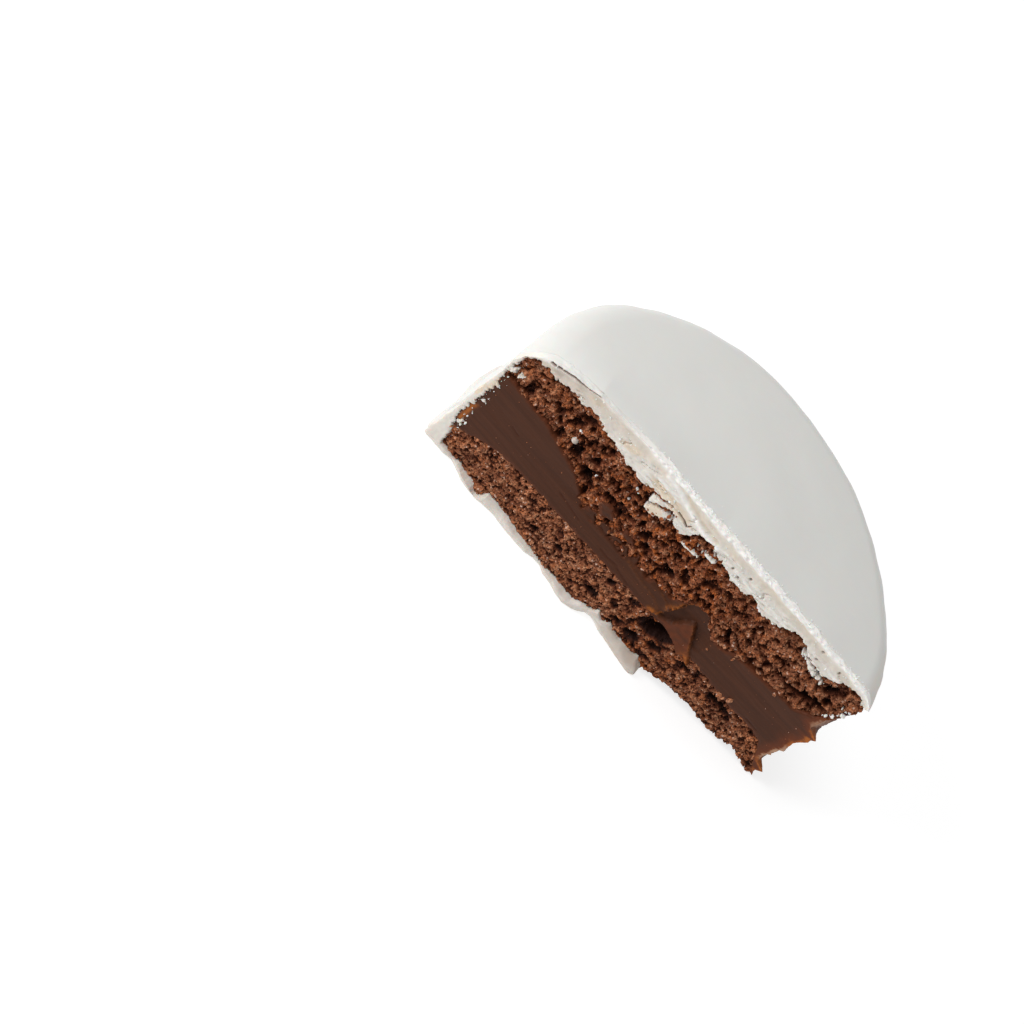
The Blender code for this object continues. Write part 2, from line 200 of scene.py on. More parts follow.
def newMaterial(name, **values):    # a Principled material, with the values that are the same all over
    material = bpy.data.materials.new(name)
    material.use_nodes = True
    shader = material.node_tree.nodes["Principled BSDF"]
    for label, value in values.items():
        shader.inputs[label.replace("_", " ")].default_value = value
    return material, material.node_tree, shader


def makeStudio():
    scene = bpy.context.scene
    scene.view_settings.view_transform = "Standard"
    world = bpy.data.worlds.new("soft white room")
    world.use_nodes = True
    world.node_tree.nodes["Background"].inputs["Color"].default_value = (1.0, 1.0, 1.0, 1.0)
    world.node_tree.nodes["Background"].inputs["Strength"].default_value = studio["worldGrey"]
    scene.world = world
    half = studio["floorSize"] / 2
    mesh = bpy.data.meshes.new("floor")
    corners = [(-half, -half, 0), (half, -half, 0), (half, half, 0), (-half, half, 0)]
    mesh.from_pydata(corners, [], [(0, 1, 2, 3)])
    floor = bpy.data.objects.new("floor", mesh)
    tone = studio["floorTone"]
    material, tree, shader = newMaterial("pale floor", Roughness=0.9, Emission_Strength=studio["floorGlow"])
    shader.inputs["Base Color"].default_value = (tone, tone, tone, 1.0)
    shader.inputs["Emission Color"].default_value = (1.0, 1.0, 1.0, 1.0)
    mesh.materials.append(material)
    floor.location.z = cadBox[0].z - studio["floorGap"] * mm
    scene.collection.objects.link(floor)
    for name in ("key", "top"):
        makeLight(name)


makeCamera()
makeStudio()
print("camera, floor and light made")


# The half's form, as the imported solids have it.

disc = {
    "axisDepth": 1.0,               # from the cut plane back to the disc's axis
    "radius": 31.0,                 # over the iced wall
    "rim": 23.7,                    # height where the top meets the shoulder
    "crown": 0.9,
    "shoulder": 4.2,
    "topSag": 0.12,
    "wallDent": 0.35,
    "dentWave": 9.0,
    "wallWaves": ((0.20, 5.0, 6.0), (0.09, 13.0, 2.6)),     # depth, waves a radian, height of one
    "wallLoss": 0.10,               # what those waves take off the wall
    "wallSeed": 41,
    # depth, height, waves a radian, reach behind the cut, seed
    "leftLumps": (0.16, 1.3, 25.0, 1.5, 55),
    "footReach": 1.5,
    "footHeight": 2.4,
    "footWaves": ((3.0, 0.35, 0.6), (7.0, 0.25, 2.0)),      # number round the disc, share, phase
    "footAtCut": 0.25,
    "drips": (0.10, 6.0, 40),       # how uneven the foot is, waves a radian, seed
    # the foot from the wall down: share of its reach, share of its height
    "footProfile": ((0.03, 1.08), (0.10, 0.98), (0.26, 0.86), (0.50, 0.75), (0.76, 0.62), (0.93, 0.48),
                    (1.0, 0.33), (1.0, 0.18), (0.95, 0.07), (0.86, 0.0)),
    "topRing": 0.19,                # between the mesh's rings on the top
    "wallRings": (19.0, 3.0, -0.55),        # their heights on the wall: first, last, step
    "baseRings": (30.0, 27.0, 22.0, 15.0, 8.0, 0.0),        # their radii on the base
    # how far the real outline stands off the circle: degrees, mm
    "outline": ((0, -0.30), (10, 0.12), (22, -0.32), (44, -0.85), (60, -0.40), (89, -0.11),
                (102, 0.42), (117, 0.19), (132, 0.59), (141, 0.36), (150, 0.50), (158, 0.10),
                (167, -0.42), (180, -0.50)),
    # how far the top is above or below its dome along the cut: x, mm
    "lift": ((-31, -1.5), (-28, -1.0), (-25, -0.1), (-21, 0.8), (-12, 0.75), (-5, 0.4), (1, 0.0)),
    "liftFade": 5.0,
}
inside = {
    "radius": 29.9,                 # of the icing's hollow
    "floor": 1.3,
    "ceiling": 22.3,
    "crown": 0.5,
    "shoulder": 2.6,
    "baseEdge": 1.2,
    "taper": 1.1,                   # the left side narrows by this much at the floor
    "taperHeight": 14.0,
    "fringe": 0.55,                 # how far the layers' left ends spread at the cut
    "fringeReach": 1.6,
    "tornFrom": (24.0, 4.0),        # where the torn right end begins, and over what length
    "tornReach": 1.2,               # how far behind the cut it is torn
    # heights along the cut: x, z
    "underside": ((-29, 21.4), (-20, 22.4), (-15, 21.7), (-10, 20.7), (-4, 20.3), (2, 21.6), (8, 20.7),
                  (13, 21.0), (18, 22.2), (22, 21.5), (27, 22.3), (29, 22.0)),
    "undersideFade": 3.0,
    "fillingBase": ((-29, 4.2), (-25, 6.1), (-22, 7.0), (-15, 7.3), (0, 7.4), (13, 6.8), (18, 6.1),
                    (24, 5.8), (29, 5.0)),
    "fillingTop": ((-29, 16.4), (-22, 15.9), (-15, 13.8), (-12, 11.6), (-6, 11.0), (0, 11.0),
                   (5, 11.6), (8, 13.2), (11, 12.2), (14, 11.8), (18, 13.0), (24, 13.6), (27, 14.8),
                   (29, 16.0)),
}
cut = {
    "bulge": 2.6,                   # how far the lower middle stands forward
    "bulgeWidth": 17.0,
    "bulgeHeight": 11.0,
    "lean": 0.05,
    "leanStart": 14.0,
    "knifeReach": 32.0,             # of the layers' knives, from the middle
    "underIcing": (0.6, 0.0, 0.5),  # how deep the layers go under the white: depth, start, width
}


def along(position, table):         # value between given points
    return np.interp(position, [point[0] for point in table], [point[1] for point in table])


def ease(amount):                   # 0 below 0, 1 above 1, smooth between
    amount = np.clip(amount, 0.0, 1.0)
    return amount * amount * (3.0 - 2.0 * amount)


def past(value, start, width):      # 0 up to the start, 1 from a width beyond it
    return ease((value - start) / width)


def before(value, end, width):      # 1 until a width short of the end, 0 from the end on
    return ease((end - value) / width)


def bell(distance, width):
    return np.exp(-(distance / width) ** 2)


def hashed(i, j, seed):             # repeatable number from 0 to 1 for each point of a lattice
    mask = 0xFFFFFFFF
    n = (i.astype(np.int64) * 374761393 + j.astype(np.int64) * 668265263 + seed * 362437) & mask
    n = ((n ^ (n >> 13)) * 1274126177) & mask
    return ((n ^ (n >> 16)) & 0xFFFF) / 65535.0


def ripple(u, v, seed):             # smooth noise of about -1 to 1, a wave to each unit
    iu, iv = np.floor(u), np.floor(v)
    fu, fv = u - iu, v - iv
    su, sv = fu ** 3 * (fu * (6 * fu - 15) + 10), fv ** 3 * (fv * (6 * fv - 15) + 10)
    total = np.zeros(np.broadcast(u, v).shape)
    for du in (0, 1):
        for dv in (0, 1):
            turn = hashed(iu + du, iv + dv, seed) * math.tau
            slope = np.cos(turn) * (fu - du) + np.sin(turn) * (fv - dv)
            total += (su if du else 1 - su) * (sv if dv else 1 - sv) * slope
    return total * 1.5


def waves(u, v, table):             # ripples added up: depth, length along, length up, seed
    return sum(depth * ripple(u / long, v / high, seed) for depth, long, high, seed in table)


def waveRound(spin, height, table, seed):       # ripples round the disc: depth, waves a radian, height
    return sum(depth * ripple(spin * number, height / high, seed + k)
               for k, (depth, number, high) in enumerate(table))


def slowNoise(x, y, z):             # the same waves as the solids have
    flat = [noise.noise(point) for point in np.stack((x, y, z), -1).reshape(-1, 3)]
    return np.array(flat).reshape(x.shape)


def cutDepth(x, z):                 # where the knife went, before any tearing
    bulge = cut["bulge"] * bell(x, cut["bulgeWidth"]) * np.maximum(0.0, 1.0 - z / cut["bulgeHeight"])
    return cut["lean"] * np.maximum(0.0, z - cut["leanStart"]) - bulge


def outlineAt(spin):                # the front quarter turns, cut away, keep the ends' values
    around = np.degrees(spin)
    around = np.where(around < -90.0, 180.0, np.maximum(around, 0.0))
    return along(around, disc["outline"])


def footAt(spin):
    wave = 1.0 + sum(share * np.sin(number * spin + phase) for number, share, phase in disc["footWaves"])
    behind = ease(np.sin(spin) * 2.2 - 0.15)
    return wave * (disc["footAtCut"] + (1.0 - disc["footAtCut"]) * behind)


def topHeight(x, y):                # x and y from the disc's axis
    flat = disc["radius"] - disc["shoulder"]
    crown = disc["crown"] * np.maximum(0.0, 1.0 - (x * x + y * y) / flat ** 2)
    lift = along(x, disc["lift"]) * bell(y + disc["axisDepth"], disc["liftFade"])
    sag = disc["topSag"] * slowNoise(x / disc["dentWave"], y / disc["dentWave"], np.zeros_like(x))
    return disc["rim"] + crown + lift + sag


def underside(x, y):
    crown = inside["crown"] * np.maximum(0.0, 1.0 - (x * x + y * y) / inside["radius"] ** 2)
    dome = inside["ceiling"] + crown
    atCut = bell(y + disc["axisDepth"], inside["undersideFade"])
    return dome + (along(x, inside["underside"]) - dome) * atCut


def layerHeight(x, y, table):       # a height known along the cut, carried round the disc
    radius = np.maximum(np.hypot(x, y), 1e-9)
    share = 0.5 + 0.5 * x / radius
    return along(-radius, table) * (1.0 - share) + along(radius, table) * share


def nearCut(y, reach):              # 1 at the cut, falling to 0 behind it
    return bell(np.maximum(0.0, y + disc["axisDepth"]), reach)


# Mesh tools.

def spokeAngles():                  # fine beside the cut, coarse where the disc is cut away
    zones = ((-180, -171, 0.25), (-171, -150, 1.0), (-150, -30, 5.0), (-30, -9, 1.0), (-9, 9, 0.25),
             (9, 171, 1.5), (171, 180, 0.25))
    return np.radians(np.concatenate([np.arange(low, high, step) for low, high, step in zones]))


def toMetres(points):               # in the shared frame, and never outside the solids' box
    placed = (points + np.array((0.0, cutPlane, 0.0))) * mm
    return np.clip(placed, np.array(cadBox[0]), np.array(cadBox[1]))


def newPiece(name, points, faces):
    mesh = bpy.data.meshes.new(name)
    mesh.from_pydata(points.tolist(), [], faces)
    piece = bpy.data.objects.new(name, mesh)
    bpy.context.scene.collection.objects.link(piece)
    return piece


# A closed body turned from (radius, height) points, from the middle of the top to the base's.
def turned(name, profile, shaped):
    radius, height = np.array(profile).T
    spokes = spokeAngles()
    spin, ring = np.meshgrid(spokes, np.arange(len(radius)))
    x, y, z = shaped(radius[ring], spin, height[ring])
    points = np.stack((x, y + disc["axisDepth"], z), -1)
    count, rows = len(spokes), len(radius)
    points = np.concatenate((points[:1, 0], points[1:-1].reshape(-1, 3), points[-1:, 0]))
    last = len(points) - 1
    faces = []
    for k in range(count):
        follower = (k + 1) % count
        faces.append((0, 1 + k, 1 + follower))
        for row in range(rows - 3):
            upper, lower = 1 + row * count, 1 + (row + 1) * count
            faces.append((upper + k, lower + k, lower + follower, upper + follower))
        base = 1 + (rows - 3) * count
        faces.append((last, base + follower, base + k))
    return newPiece(name, toMetres(points), faces)


# A block in front of the cut, whose back is the cut surface of one piece.
def knife(name, xs, zs, depthAt, front=40.0):
    x, z = np.meshgrid(xs, zs, indexing="ij")
    depth = depthAt(x, z)
    columns, rows = x.shape
    grid = np.arange(columns * rows).reshape(columns, rows)
    rim = np.concatenate((grid[:, 0], grid[-1, 1:], grid[-2::-1, -1], grid[0, -2:0:-1]))
    points = np.stack((x, depth, z), -1).reshape(-1, 3)
    cap = points[rim] * (1.0, 0.0, 1.0) - (0.0, front, 0.0)
    centre = cap.mean(0)
    points = np.concatenate((points, cap, centre[None]))
    corners = (grid[:-1, :-1], grid[:-1, 1:], grid[1:, 1:], grid[1:, :-1])
    faces = np.stack(corners, -1).reshape(-1, 4).tolist()
    first, total = columns * rows, len(rim)
    for k in range(total):
        follower = (k + 1) % total
        faces.append((int(rim[k]), int(rim[follower]), first + follower, first + k))
        faces.append((first + k, first + follower, first + total))
    cutter = newPiece(name, (points + np.array((0.0, cutPlane, 0.0))) * mm, faces)
    onCut = np.zeros(len(points))
    onCut[:first] = 1.0
    store(cutter.data, "onCut", onCut)
    return cutter


def cutGrid(reach, heights, cell):  # a knife's columns and rows
    return np.arange(-reach, reach, cell), np.arange(*heights, cell)


def store(mesh, name, values):
    attribute = mesh.attributes.get(name) or mesh.attributes.new(name, "FLOAT", "POINT")
    attribute.data.foreach_set("value", np.asarray(values, np.float32))


def pointsOf(mesh):                 # in millimetres from the cut plane
    flat = np.empty(len(mesh.vertices) * 3, np.float32)
    mesh.vertices.foreach_get("co", flat)
    return flat.reshape(-1, 3).astype(float) / mm - (0.0, cutPlane, 0.0)


def settle(piece):                  # what the modifiers leave, as a plain mesh
    mesh = bpy.data.meshes.new_from_object(piece.evaluated_get(bpy.context.evaluated_depsgraph_get()))
    piece.modifiers.clear()
    old, piece.data = piece.data, mesh
    bpy.data.meshes.remove(old)


def carve(piece, *cutters):
    for cutter in cutters:
        boolean = piece.modifiers.new("Cut", "BOOLEAN")
        boolean.operation = "DIFFERENCE"
        boolean.solver = "MANIFOLD"
        boolean.object = cutter
        settle(piece)
        bpy.data.objects.remove(cutter, do_unlink=True)


def dropScraps(piece, smallest):    # bodies of fewer points than this go
    form = bmesh.new()
    form.from_mesh(piece.data)
    form.verts.ensure_lookup_table()
    seen = np.zeros(len(form.verts), bool)
    scraps = []
    for start in form.verts:
        if seen[start.index]:
            continue
        seen[start.index] = True
        body = [start]
        for vertex in body:
            for edge in vertex.link_edges:
                other = edge.other_vert(vertex)
                if not seen[other.index]:
                    seen[other.index] = True
                    body.append(other)
        if len(body) < smallest:
            scraps.extend(body)
    bmesh.ops.delete(form, geom=scraps, context="VERTS")
    form.to_mesh(piece.data)
    form.free()


def finishPiece(piece, material, nodeName, sharp=50.0):
    piece.data.materials.clear()
    piece.data.materials.append(material)
    piece.data.shade_smooth()
    piece.data.set_sharp_from_angle(angle=math.radians(sharp))
    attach(piece, "root")
    if nodeName:
        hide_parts(nodeName)
    piece.data.calc_loop_triangles()
    print(piece.name, "triangles:", len(piece.data.loop_triangles))


def arc(radius, height, size, fromDegrees, toDegrees, count):       # a rounded edge of a profile
    turn = np.radians(np.linspace(fromDegrees, toDegrees, count))
    return [(radius + size * math.cos(a), height + size * math.sin(a)) for a in turn]


# Profile of a disc with rounded edges, in (radius, height) points.
def disclike(radius, low, high, topEdge, baseEdge, step, ring=1.5):
    top = [(r, high) for r in np.arange(0.0, radius - topEdge, ring)]
    shoulder = arc(radius - topEdge, high - topEdge, topEdge, 90, 0, 8)
    wall = [(radius, z) for z in np.arange(high - topEdge - step, low + baseEdge, -step)]
    heel = arc(radius - baseEdge, low + baseEdge, baseEdge, 0, -90, 6)
    base = [(r, low) for r in np.arange(radius - baseEdge - ring, 1.0, -ring)]
    return top + shoulder + wall + heel + base + [(0.0, low)]


# Stretches a disc between two surfaces, with the alfajor's outline and taper.
def layerShape(low, high, baseAt, topAt, endAt=None):
    def shaped(radius, spin, height):
        x, y = radius * np.cos(spin), radius * np.sin(spin)
        share = (height - low) / (high - low)
        floor = baseAt(x, y)
        z = floor + share * (topAt(x, y) - floor)
        leftShare = 0.5 - 0.5 * np.cos(spin)
        taper = inside["taper"] * leftShare * np.maximum(0.0, 1.0 - z / inside["taperHeight"])
        grow = 1.0 + (outlineAt(spin) - taper) / disc["radius"]
        x, y = x * grow, y * grow
        outer = (radius / radius.max()) ** 4
        x = x - inside["fringe"] * nearCut(y, inside["fringeReach"]) * leftShare * outer
        if endAt:                   # the torn right end, beside the cut
            reach = endAt(z) / np.maximum(radius.max() * grow, 1e-9)
            share = nearCut(y, inside["tornReach"]) * past(x, *inside["tornFrom"])
            x = x * (1.0 + (reach - 1.0) * share)
        return x, y, z
    return shaped


# Roughens a layer's outer wall at the right, where the coat broke away.
def roughWall(shape, radius, table, seed):
    def shaped(r, spin, height):
        x, y, z = shape(r, spin, height)
        right = np.cos(spin) > 0.8
        swell = 1.0 + waveRound(spin, z, table, seed) * (r / radius) ** 6 * right / radius
        return x * swell, y * swell, z
    return shaped


# Where each colour shows on the cut.

whiteParts = {
    # edges of the white: x, z (and z, x for the upright ones)
    "lowerEdge": ((-31, 20.6), (-29.3, 20.8), (-28.5, 21.2), (-27, 21.6), (-25, 21.7), (-24, 21.9),
                  (-22.5, 22.3), (-21, 21.9), (-19.5, 22.4), (-18, 22.1), (-17, 21.7), (-15, 21.4),
                  (-13, 21.0), (-12.5, 20.7), (-10, 20.7), (-8, 20.8), (-6.6, 21.1), (-5.7, 21.45),
                  (-4.9, 21.6), (-4.4, 21.3), (-4.1, 20.8), (-3.5, 20.7), (-3.2, 19.7), (-2.2, 19.2),
                  (-1.2, 19.5), (-0.6, 20.1), (-0.4, 21.3), (1, 21.7), (2, 21.9), (3, 20.9),
                  (4.5, 21.2), (6, 20.6), (7, 20.2), (9, 20.2), (10, 20.9), (11, 20.9), (12, 20.2),
                  (14, 20.3), (15, 20.8), (16, 21.8), (17.5, 22.2), (19, 21.7), (20, 20.9), (22, 20.7),
                  (23, 20.3), (24.5, 21.2), (25.5, 22.1), (27, 22.3), (28, 22.2), (29, 21.5),
                  (31, 20.6)),
    "leftEdge": ((0, -28.0), (2, -28.2), (3.8, -28.6), (5.4, -29.2), (7, -29.5), (9, -29.6),
                 (10, -29.2), (12, -29.4), (14, -29.5), (15.7, -29.5), (17.5, -29.9), (20, -29.6),
                 (22, -29.3)),
    "stripTop": ((-31, 1.2), (-28, 1.1), (-26.8, 0.9), (-26, 0.7), (-24.8, 0.8), (-23.2, 0.6),
                 (-21.5, 0.3), (-21, 0.1), (-20.6, 0.0), (-20.2, 0.1), (-19.9, 0.3), (-19.3, 1.1),
                 (-17.9, 1.1), (-16.2, 1.2), (-14.5, 0.9), (-12, 0.8), (-10, 0.7), (-8, 0.6),
                 (-6, 0.7), (-5.1, 0.75), (-3.6, 0.7), (-2.8, 0.7), (-1.5, 1.5), (-0.3, 1.7),
                 (0.7, 2.4), (1.7, 1.9), (2.6, 2.1), (4.1, 1.85), (4.9, 1.65), (6, 1.6), (7.5, 1.5),
                 (8.5, 1.5), (9.7, 0.7), (11, 0.3)),
    "stripEnd": ((-1.5, 8.6), (0, 9.4), (0.5, 9.7), (1.0, 9.4), (2, 8.4)),
    # smears lying over the brown: x, z, half length, half height, slope, raggedness
    "smears": ((0.7, 18.6, 1.05, 0.17, 0.05, 0.25), (2.9, 20.0, 1.2, 0.25, 0.1, 0.6),
               (20.6, 20.3, 1.3, 0.35, -0.3, 0.9), (22.4, 19.7, 1.2, 0.3, -0.15, 0.9),
               (29.1, 18.6, 0.6, 0.5, 0.0, 1.2), (-29.3, 17.8, 0.8, 0.35, 0.0, 1.2),
               (-29.3, 14.4, 0.35, 0.2, -0.3, 0.6), (-28.8, 5.8, 0.6, 0.4, 0.6, 1.2),
               (-29.0, 10.9, 0.35, 0.2, 0.2, 0.8), (-18.2, 17.1, 0.38, 0.36, 0.0, 0.3)),
    "reach": 2.5,                   # a smear is looked for within this distance
    # flakes hanging from the band, each with its raggedness
    "flakes": ((((-7.4, 20.3), (-5.9, 20.95), (-4.3, 21.5), (-4.4, 20.9), (-5.8, 20.0), (-7.0, 19.3)),
                0.35),
               (((-6.8, 18.4), (-6.1, 19.5), (-4.6, 20.1), (-3.8, 19.9), (-4.1, 18.7), (-5.2, 18.2),
                 (-6.1, 18.0)), 1.2)),
    # how the edges wander, in waves: depth, length along the cut, length up it, seed
    "edgeWaves": ((0.26, 1.5, 1.5, 11), (0.26, 0.62, 0.62, 12), (0.16, 0.30, 0.30, 13)),
    "combWaves": ((0.30, 1.5, 0.30, 15),),      # fine streaks dragged from the left wall over the brown
    "stripWaves": ((0.12, 1.6, 1.6, 14),),
    "flakeWaves": ((0.22, 0.38, 0.30, 16), (0.15, 0.22, 0.20, 17)),
    "wallWander": 0.7,              # share of the edges' waves that the left wall has
}
fillingParts = {
    # edges of the filling: x, z
    "top": ((-30, 16.6), (-29, 16.4), (-26, 16.2), (-22, 15.9), (-20, 15.2), (-17, 14.4), (-15, 13.7),
            (-13, 12.1), (-11.5, 11.0), (-6, 10.7), (0, 10.6), (3, 11.0), (5, 11.4), (6.2, 12.2),
            (7.2, 13.6), (9, 13.8), (10.5, 12.4), (12, 11.3), (13.5, 11.4), (15, 12.3), (20, 13.1),
            (25, 13.6), (27, 14.8), (28, 16.0), (30, 16.6)),
    "base": ((-30, 3.6), (-28.5, 4.4), (-27, 5.0), (-25, 6.0), (-23, 6.8), (-20, 7.2), (-10, 7.4),
             (3, 7.5), (9, 7.2), (13, 6.9), (17, 6.3), (20, 6.0), (25, 5.8), (26.5, 5.4), (27.4, 4.4),
             (28.4, 2.8), (29.2, 1.7), (30.3, 0.3), (31, -0.5)),
    # how high above its top edge crumb and filling are one: x, mm
    "mixed": ((-16, 0.0), (-12, 0.6), (-9, 1.3), (-3, 1.3), (1, 0.7), (5, 0.3), (9, 0.0)),
    "mixedShare": 0.35,
    # patches in the crumb above: x, z, half length, half height, slope
    "patches": ((-12.7, 18.8, 0.5, 0.8, 0.0), (-11.0, 16.5, 0.7, 0.6, 0.0),
                (-8.8, 13.0, 1.4, 1.1, -0.2), (-4.5, 12.5, 1.2, 0.6, -0.3), (8.6, 12.6, 1.8, 1.4, 0.0)),
    "edgeWaves": ((0.20, 1.1, 1.1, 21), (0.12, 0.4, 0.4, 22)),
    "blotches": ((1.0, 1.3, 0.9, 24), (0.5, 0.5, 0.5, 25)),
}


def spot(x, z, place):              # about 1 in the middle of a slanted oval, 0 on its edge
    acrossAt, heightAt, length, height, slope = place
    dx = (x - acrossAt) / length
    dz = (z - heightAt - slope * (x - acrossAt)) / height
    return 1.0 - np.sqrt(dx * dx + dz * dz)


def lineDistance(x, z, line):       # to the nearest point of a broken line
    nearest = np.full(x.shape, 9.0)
    for (ax, az), (bx, bz) in zip(line, line[1:]):
        length = (bx - ax) ** 2 + (bz - az) ** 2
        share = np.clip(((x - ax) * (bx - ax) + (z - az) * (bz - az)) / length, 0.0, 1.0)
        nearest = np.minimum(nearest, np.hypot(x - ax - share * (bx - ax), z - az - share * (bz - az)))
    return nearest


def insideOutline(x, z, outline):   # distance in mm inside an outline, negative outside it
    closed = outline + outline[:1]
    within = np.zeros(x.shape, bool)
    for (ax, az), (bx, bz) in zip(closed, closed[1:]):
        if az != bz:
            crossing = ax + (z - az) / (bz - az) * (bx - ax)
            within ^= ((az > z) != (bz > z)) & (x < crossing)
    edge = lineDistance(x, z, closed)
    return np.where(within, edge, -edge)


# How far in mm a point of the cut is inside the icing, negative outside it.
def whiteness(x, z):
    wander = waves(x, z, whiteParts["edgeWaves"])
    band = z - along(x, whiteParts["lowerEdge"]) + wander
    dragged = whiteParts["wallWander"] * wander + waves(x, z, whiteParts["combWaves"])
    wall = along(z, whiteParts["leftEdge"]) - x + dragged
    strip = np.minimum(along(x, whiteParts["stripTop"]) - z, along(z, whiteParts["stripEnd"]) - x)
    white = np.maximum.reduce((band, wall, strip + waves(x, z, whiteParts["stripWaves"])))
    wander = wander + waves(x, z, whiteParts["flakeWaves"])
    for outline, raggedness in whiteParts["flakes"]:
        white = np.maximum(white, insideOutline(x, z, outline) + raggedness * wander)
    for *place, raggedness in whiteParts["smears"]:
        oval = spot(x, z, place) * min(place[2:4]) + raggedness * wander
        near = np.hypot(x - place[0], z - place[1]) < whiteParts["reach"]
        white = np.maximum(white, np.where(near, oval, -1.0))
    return white


# How far in mm a point of the cut is inside the filling, negative outside it.
def chocolateness(x, z):
    blotch = waves(x, z, fillingParts["blotches"])
    mixedIn = along(x, fillingParts["mixed"]) * (fillingParts["mixedShare"] + blotch)
    top = along(x, fillingParts["top"]) - z + mixedIn
    body = np.minimum(top, z - along(x, fillingParts["base"])) + waves(x, z, fillingParts["edgeWaves"])
    for patch in fillingParts["patches"]:
        halfHeight = patch[3]
        body = np.maximum(body, spot(x, z, patch) * halfHeight * 0.7 + 0.25 * blotch)
    return body


def underIcing(x, z):               # how much deeper a layer is where the icing covers it
    depth, start, width = cut["underIcing"]
    return depth * past(whiteness(x, z), start, width)


# Icing.

